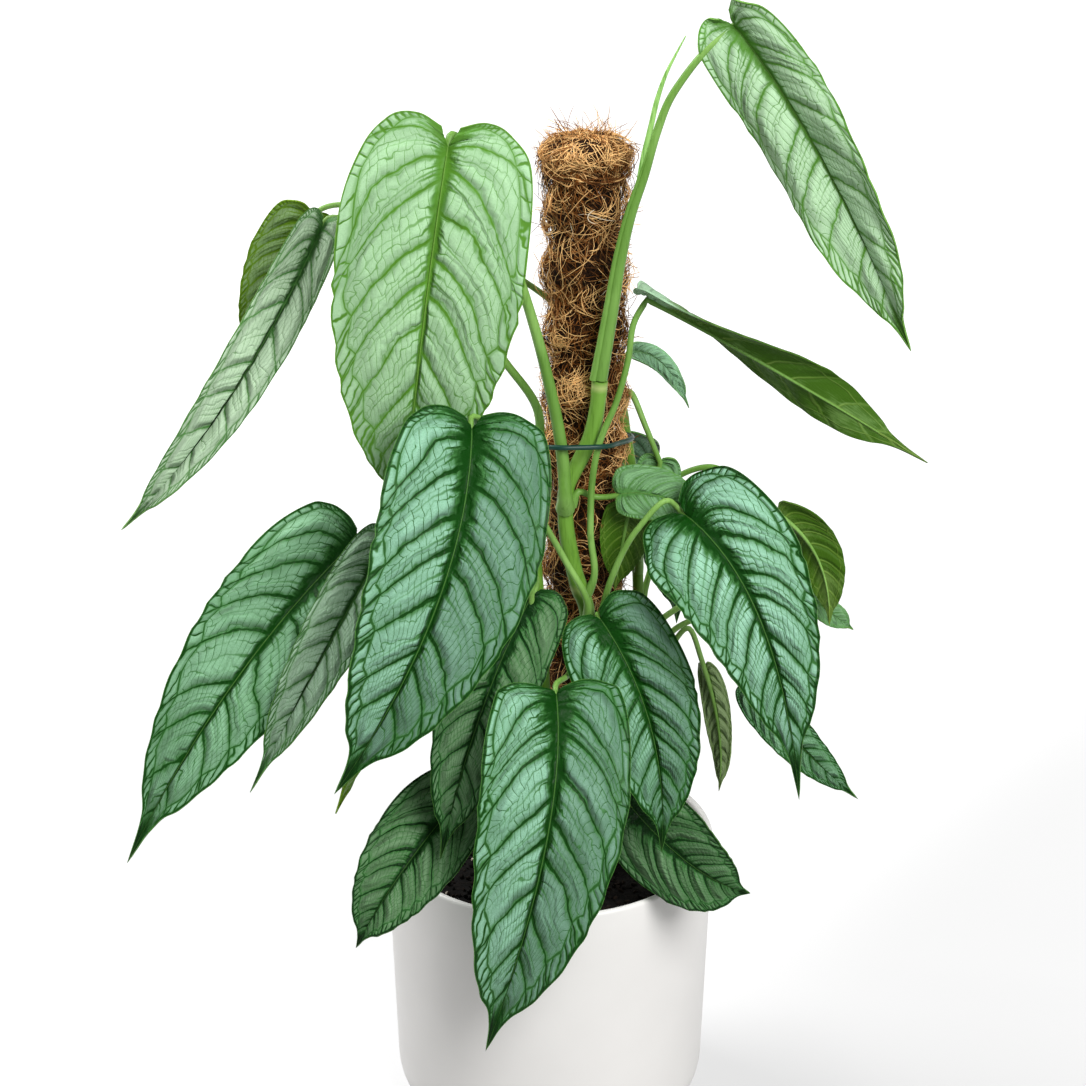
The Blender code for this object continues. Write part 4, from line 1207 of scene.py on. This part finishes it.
# %% Grow one leaf
BLADE_THICKNESS = 0.0009
SMALL_LEAF_LENGTH = 0.095
SMALL_GRID, LARGE_GRID = (22, 44), (40, 84)
USUAL_HALF_WIDTH = 38
ROW_STEP, COLUMN_STEP = 0.01, 0.02
TIP_WELD = 0.00002
RIDGE_POINTS = 26
RIDGE_END = 0.86
RIDGE_TAPER = 0.86
SHEATHED = "top_right"
SHEATH_SHARE = 0.62
SHEATH_WAY = np.array((-0.93, -0.37, 0.0))


def blade_piece(blade, number, finish):
    """The blade as a bent and thickened grid that knows the spacing of its rows, columns and veins."""
    columns, rows = SMALL_GRID if blade.length < SMALL_LEAF_LENGTH else LARGE_GRID
    bpy.ops.object.select_all(action="DESELECT")
    bpy.ops.mesh.primitive_grid_add(x_subdivisions=columns, y_subdivisions=rows, size=2)
    piece = bpy.context.object
    flat = places(piece.data)
    v, u = -flat[:, 0], (flat[:, 1] + 1) / 2
    points, turns = blade.surface(u, v)
    piece.data.vertices.foreach_set("co", points.ravel())
    low, high = np.maximum(u - ROW_STEP, 0), np.minimum(u + ROW_STEP, 1)
    left, right = np.maximum(v - COLUMN_STEP, -1), np.minimum(v + COLUMN_STEP, 1)
    (below, turns_below), (above, turns_above) = blade.surface(low, v), blade.surface(high, v)
    (before, turns_before), (after, turns_after) = blade.surface(u, left), blade.surface(u, right)
    along_rows, more_rows = (above - below) / column(high - low), (turns_above - turns_below) / (high - low)
    along_columns = (after - before) / column(right - left)
    more_columns = (turns_after - turns_before) / (right - left)
    area = np.linalg.norm(np.cross(along_rows, along_columns), axis=1)
    area = area / ((blade.leaf.half_width / USUAL_HALF_WIDTH) ** 0.6 * MM)
    steepest = along_columns * column(more_rows) - along_rows * column(more_columns)
    give(piece.data, "turns", turns)
    give(piece.data, "vein_gap", area / (np.linalg.norm(steepest, axis=1) + 1e-6))
    give(piece.data, "row_gap", area / np.linalg.norm(along_columns, axis=1))
    give(piece.data, "column_gap", area / np.linalg.norm(along_rows, axis=1))
    give(piece.data, "leaf_number", np.full(len(u), float(blade.phase + number)))
    weld(piece, TIP_WELD, outwards=False)
    piece.data.materials.append(finish.material)
    wall = piece.modifiers.new("wall", "SOLIDIFY")
    wall.thickness = BLADE_THICKNESS
    wall.offset = 0.0
    bpy.ops.object.modifier_apply(modifier="wall")
    return piece


def stem_point(name, height):
    """The centre and the radius of a stem at a height, in metres."""
    stem = next(one for one in STEMS if one.name == name)
    path = smooth_path(metres(stem.points), 0.002)
    nearest = int(np.argmin(abs(path[:, 2] - height)))
    share = nearest / (len(path) - 1)
    return path[nearest], (stem.radius_low + (stem.radius_high - stem.radius_low) * share) * MM


def stalk_bars(leaf, blade):
    """The stalk, from its foot on the stem to its ridge under the blade, and the sheath's edge on it."""
    thick, thin = metres(leaf.stalk)
    points = []
    if leaf.foot:
        stem, height, turn = leaf.foot
        centre, stem_radius = stem_point(stem, height * MM)
        outward = outwards(math.radians(turn))
        points.append(centre + outward * (stem_radius - 0.4 * thick))
        points.append(centre + outward * (stem_radius + 1.3 * thick) + (0.0, 0.0, 0.008))
    points.extend(metres(leaf.route).reshape(-1, 3))
    base, forward = blade.midrib(np.zeros(1))
    under = base[0] - blade.frame(np.zeros(1))[1][0] * 0.8 * thin
    if leaf.hook:
        points.append(under - forward[0] * leaf.hook * MM)
    points.append(under)
    path = smooth_path(points, 0.003)
    share = np.linspace(0.0, 1.0, len(path))
    radii = thin + (thick - thin) * (1 - share) ** 1.3
    if leaf.foot:
        radii = radii * (1 + 0.5 * np.exp(-((share * len(path) / 2.5) ** 2)))
    along = np.linspace(0.02, RIDGE_END, RIDGE_POINTS)
    ridge_radii = thin * (1 - RIDGE_TAPER * along**0.7)
    ridge = blade.midrib(along)[0] - blade.frame(along)[1] * column(0.8 * ridge_radii)
    bars = [round_bar(np.vstack((path, ridge)), np.concatenate((radii, ridge_radii)))]
    if leaf.name == SHEATHED:
        end = round(len(path) * SHEATH_SHARE)
        wing = path[:end] + SHEATH_WAY * column(radii[:end] * 1.02)
        bars.append(round_bar(wing, radii[:end] * np.linspace(0.52, 0.36, end), 10))
    return bars


def grow(number, leaf, stalk_finish):
    """One whole leaf in place of its node. Its number keeps any two leaves from having the same net."""
    blade = Blade(leaf)
    sheet = blade_piece(blade, number, FACES[leaf.face])
    bars = stalk_bars(leaf, blade)
    for bar in bars:
        bar.data.materials.append(stalk_finish.material)
    pick(*bars, sheet)
    bpy.ops.object.join()
    settle(sheet, leaf.name + "_leaf", "leaf_" + leaf.tint, (), "leaf_" + leaf.name)


# %% [markdown]
# ## Where the leaves hang
#
# The table lists the leaves from the top of the plant to the pot, with the frame's own points. Young
# leaves at the top are paler, those in the middle are silver on deep green, and a few show only their
# olive undersides. Two leaves at the back are never seen from the front, but a real plant has them.

# %% The table of leaves
LEAVES = (
    Leaf(
        "top_right", (92, -22, 655), (140, -32, 585), (187, -45, 490), 25,
        route=(
            (26.1, -31, 469.9), (32, -31, 508), (36.5, -31, 538), (41.6, -31, 561), (47.4, -30.6, 579),
            (54, -30, 603), (59.6, -29, 618), (66.5, -28, 629), (78, -25.5, 643),
        ),
        stalk=(3.9, 1.7), hook=0, roll=33, fold=0.7, belly=0.3, wave=4, waves=3, tint="pale", face="top",
    ),
    Leaf(
        "top_left", (-51, -62, 603), (-65, -82, 509), (-78, -62, 398), 49,
        route=((7.2, -39, 420), (5.5, -39.5, 436), (-2.4, -41.5, 478), (-15, -46, 526), (-31, -54, 573)),
        foot=("vine_main", 399, -90), stalk=(3.6, 2.2), hook=4, fold=0.25, tint="pale", face="pale",
    ),
    Leaf(
        "outer_left", (-119, -15, 548), (-169, -42, 462), (-229, -50, 391), 15,
        route=((-6, -26.8, 425.6), (-6.5, -25, 449), (-24, -24, 477), (-58, -22, 521), (-95, -18, 548)),
        stalk=(2.6, 1.6), hook=3, fold=1, lobe=0.5, tint="pale", face="light",
    ),
    Leaf(
        "outer_left_back", (-127, 12, 545), (-147, 12, 509), (-165, 8, 462), 21,
        route=((20, 42, 470), (-40, 32, 520), (-90, 20, 548)), foot=("vine_back", 444, 120), hook=3,
        facing=(0.0, 0.92, 0.4), tint="pale", face="turning",
    ),
    Leaf(
        "front_centre", (-40, -95, 466), (-58, -138, 386), (-111, -150, 287), 44,
        route=((7.8, -50, 374), (-3, -58, 398), (-18, -72, 433), (-31, -86, 465)),
        foot=("vine_main", 338, -90), hook=7, roll=-15, lobe=0.7, tint="dark", face="front",
    ),
    Leaf(
        "outer_low_left", (-105, -30, 377), (-169, -82, 316), (-229, -100, 217), 38,
        route=((-20, -30, 384), (-60, -27, 392), (-92, -25, 380)), foot=("vine_left", 365, 180), roll=8,
        lobe=0.4, belly=-0.25,
    ),
    Leaf(
        "low_left", (-88, -58, 386), (-118, -90, 340), (-159, -112, 267), 18,
        route=((-20, -37, 368), (-55, -46, 386), (-80, -55, 390)), foot=("vine_left", 340, 200), roll=10,
        fold=0.5, face="grey",
    ),
    Leaf(
        "mid_left", (-10, -52, 354), (-38, -86, 298), (-59, -114, 227), 26,
        route=((-10, -54, 350), (-9, -58, 372)), foot=("vine_left", 318, -90), hook=4, lobe=0.8,
        face="shade",
    ),
    Leaf(
        "front_low", (3, -90, 314), (-3, -136, 246), (-35, -142, 125), 40,
        route=((13, -57, 311), (8, -72, 315)), foot=("vine_main", 296, -90), hook=5, roll=-6, lobe=0.45,
        belly=0.2, tint="dark", face="front",
    ),
    Leaf(
        "mid_right", (27, -56, 342), (54, -84, 290), (60, -98, 222), 31, route=((27, -54, 340),),
        foot=("vine_main", 308, -60), hook=4, lobe=0.8, belly=-0.2, tint="dark", face="front",
    ),
    Leaf(
        "front_right", (72, -50, 400), (110, -97, 358), (132, -110, 261), 38,
        route=((32, -48, 360), (47, -52, 394), (62, -51, 409)), foot=("vine_main", 330, -20), hook=5,
        roll=3, belly=-0.5, tint="dark", face="dark",
    ),
    Leaf(
        "right_back", (128, 6, 377), (150, 4, 350), (157, 0, 312), 15, route=((66, 16, 392), (88, 10, 404)),
        foot=("vine_back", 352, 0), facing=(0.2, 0.9, 0.4), tint="olive", face="olive",
    ),
    Leaf(
        "small_right_back", (142, 22, 324), (159, 20, 311), (173, 18, 301), 9,
        route=((80, 14, 322), (110, 20, 338)), foot=("vine_back", 292, 15), facing=(0.0, -0.6, 0.8),
        face="plain",
    ),
    Leaf(
        "low_right", (113, -16, 280), (140, -30, 252), (173, -42, 224), 13,
        route=((72, 12, 305), (98, 2, 316)), foot=("vine_back", 262, 10),
    ),
    Leaf(
        "hanging_right", (88, -8, 287), (96, -16, 251), (96, -22, 218), 8,
        route=((64, 0, 290), (78, -4, 312)), foot=("vine_back", 240, -40), facing=(0.3, 0.9, 0.3),
        tint="olive", face="faded",
    ),
    Leaf(
        "rim_right", (46, -50, 223), (78, -86, 207), (109, -98, 197), 27, route=((30, -46, 222),),
        foot=("vine_main", 198, -10), roll=40, wave=3, facing=(0.15, -0.65, 0.75), tint="dark",
        face="shade",
    ),
    Leaf(
        "rim_left", (-46, -62, 241), (-80, -106, 215), (-105, -120, 176), 27,
        route=((-18, -48, 240), (-36, -54, 250)), foot=("vine_left", 212, 190), facing=(-0.2, -0.75, 0.6),
        tint="dark", face="shade",
    ),
    Leaf(
        "under_left", (-50, -40, 285), (-88, -68, 277), (-116, -92, 243), 20,
        route=((-20, -40, 280), (-38, -38, 290)), foot=("vine_left", 255, 170), facing=(0.0, 0.6, 0.8),
        tint="olive", face="turning",
    ),
    Leaf(
        "far_right", (51, -22, 512), (114, -32, 478), (200, -40, 426), 21,
        route=((21.5, -38.5, 385), (26.5, -37, 438), (35, -34, 459), (40.7, -30, 480), (44.2, -26, 501)),
        foot=("vine_main", 350, -20), stalk=(1.9, 1.7), hook=0, twist=-140, facing=(0.0, 0.2, 0.98),
        face="turned",
    ),
    Leaf(
        "behind_pole", (46, 28, 465), (63, 30, 456), (77, 30, 431), 6, route=(),
        foot=("vine_back", 450, 30), stalk=(1.5, 1), hook=2, face="faint",
    ),
    Leaf(
        "inner_pale", (38, -30, 404), (64, -31, 401), (92, -34, 383), 16, route=((24, -29, 402),),
        foot=("vine_main", 398, 0), hook=2, facing=(0.0, -0.75, 0.65), tint="pale", face="plain",
    ),
    Leaf(
        "inner_olive", (43, -27, 395), (39, -33, 376), (35, -36, 350), 14,
        route=((50, -6, 357), (50, -16, 377), (47, -23, 392)), foot=("vine_back", 340, -80), hook=3,
        facing=(0.2, 0.9, 0.3), tint="olive", face="olive",
    ),
    Leaf(
        "inner_right", (66, 26, 368), (72, 42, 338), (74, 50, 290), 26, route=((60, 22, 350),),
        foot=("vine_back", 318, 50), facing=(0.3, 0.9, 0.3),
    ),
    Leaf(
        "small_back", (60, 0, 411), (57, 0, 388), (54, 2, 363), 13, route=((44, 14, 446), (52, 4, 430)),
        foot=("vine_back", 436, -50), hook=0, facing=(0.1, 0.9, 0.4), tint="pale", face="plain",
    ),
    Leaf(
        "back", (30, 60, 400), (24, 98, 350), (14, 112, 268), 36, route=((44, 40, 392),),
        foot=("vine_back", 370, 90), facing=(0.0, 0.9, 0.4),
    ),
    Leaf(
        "back_left", (-30, 45, 330), (-66, 76, 296), (-92, 90, 232), 32,
        route=((30, 44, 300), (0, 44, 325)), foot=("vine_back", 270, 110), facing=(-0.3, 0.8, 0.5),
    ),
)

stalk_skin = Finish("stalk_skin", Roughness=0.42, Specular_IOR_Level=0.22)
lines = stalk_skin.noise(800, 3, stretch=(1, 1, 0.1))
# Painted light: lighter patches along the stalks, where light strikes them.
painted_sunlit_patches = stalk_skin.ease(stalk_skin.noise(18, 2), 0.35, 0.65)
stalk_green = stalk_skin.blend(painted_sunlit_patches, colour(100, 144, 58), colour(138, 182, 94))
stalk_skin.feed(
    Base_Color=stalk_skin.blend(stalk_skin.ease(lines, 0.45, 0.8) * 0.5, stalk_green, colour(74, 114, 36)),
    Normal=stalk_skin.bump(lines, 0.00015, 0.5),
)

for number, leaf in enumerate(LEAVES):
    grow(number, leaf, stalk_skin)

# %% [markdown]
# ## Floor and light
#
# The photograph was taken on a seamless white ground in soft, even light that comes a little more from
# the right and front, with a weak shadow to the right of the pot. A large pale floor, a bright even sky
# and two broad lamps give the same. The floor glows by itself, less to the front right, where the shadow
# falls, and it doesn't light the plant from below.

# %% Floor and lamps
FLOOR_SIZE = 60
FLOOR_HEIGHT = -0.0002
SKY_LIGHT = 0.40
FRONT_RIGHT = (0.8, -0.6, 0.0)


def grey(share):
    """A grey as light, from black at 0 to white at 1."""
    return (share, share, share)


bpy.ops.mesh.primitive_plane_add(size=FLOOR_SIZE, location=(0, 0, FLOOR_HEIGHT))
floor = bpy.context.object
bpy.ops.object.transform_apply(location=True)
floor.name = "floor"
floor.visible_diffuse = False
ground = Finish("white_ground", Roughness=0.9, Specular_IOR_Level=0.1, Emission_Strength=1.0)
from_pot = ground.vector("LENGTH", "Value", ground.place())
to_front = ground.vector("DOT_PRODUCT", "Value", ground.place(), FRONT_RIGHT)
near_glow = ground.blend(ground.ease(to_front, -0.10, 0.10), grey(0.62), grey(0.42))
ground.feed(
    Base_Color=ground.blend(ground.noise(3, 2), grey(0.35), grey(0.37)),
    Emission_Color=ground.blend(ground.ease(from_pot, 0.25, 2.0), near_glow, grey(1.0)),
)
floor.data.materials.append(ground.material)

world = bpy.data.worlds.new("soft_studio")
world.use_nodes = True
sky = world.node_tree.nodes["Background"]
sky.inputs["Color"].default_value = (1.0, 1.0, 1.0, 1.0)
sky.inputs["Strength"].default_value = SKY_LIGHT
bpy.context.scene.world = world


def lamp(name, place, aim, size, power):
    """A broad square lamp at a place, turned towards a point."""
    bpy.ops.object.light_add(type="AREA", location=place)
    light = bpy.context.object
    light.name = name
    light.data.size = size
    light.data.energy = power
    way = unit(np.subtract(aim, place))
    light.rotation_euler = (math.acos(-way[2]), 0, math.atan2(-way[0], way[1]))


lamp("back_left", (-1.2, 0.5, 1.9), (0, 0, 0.3), 1.0, 40)
lamp("front_right", (1.0, -1.85, 2.1), (0, 0, 0.35), 1.2, 76)
bpy.context.scene.view_settings.view_transform = "Standard"
print("Lamps: back left and front right")
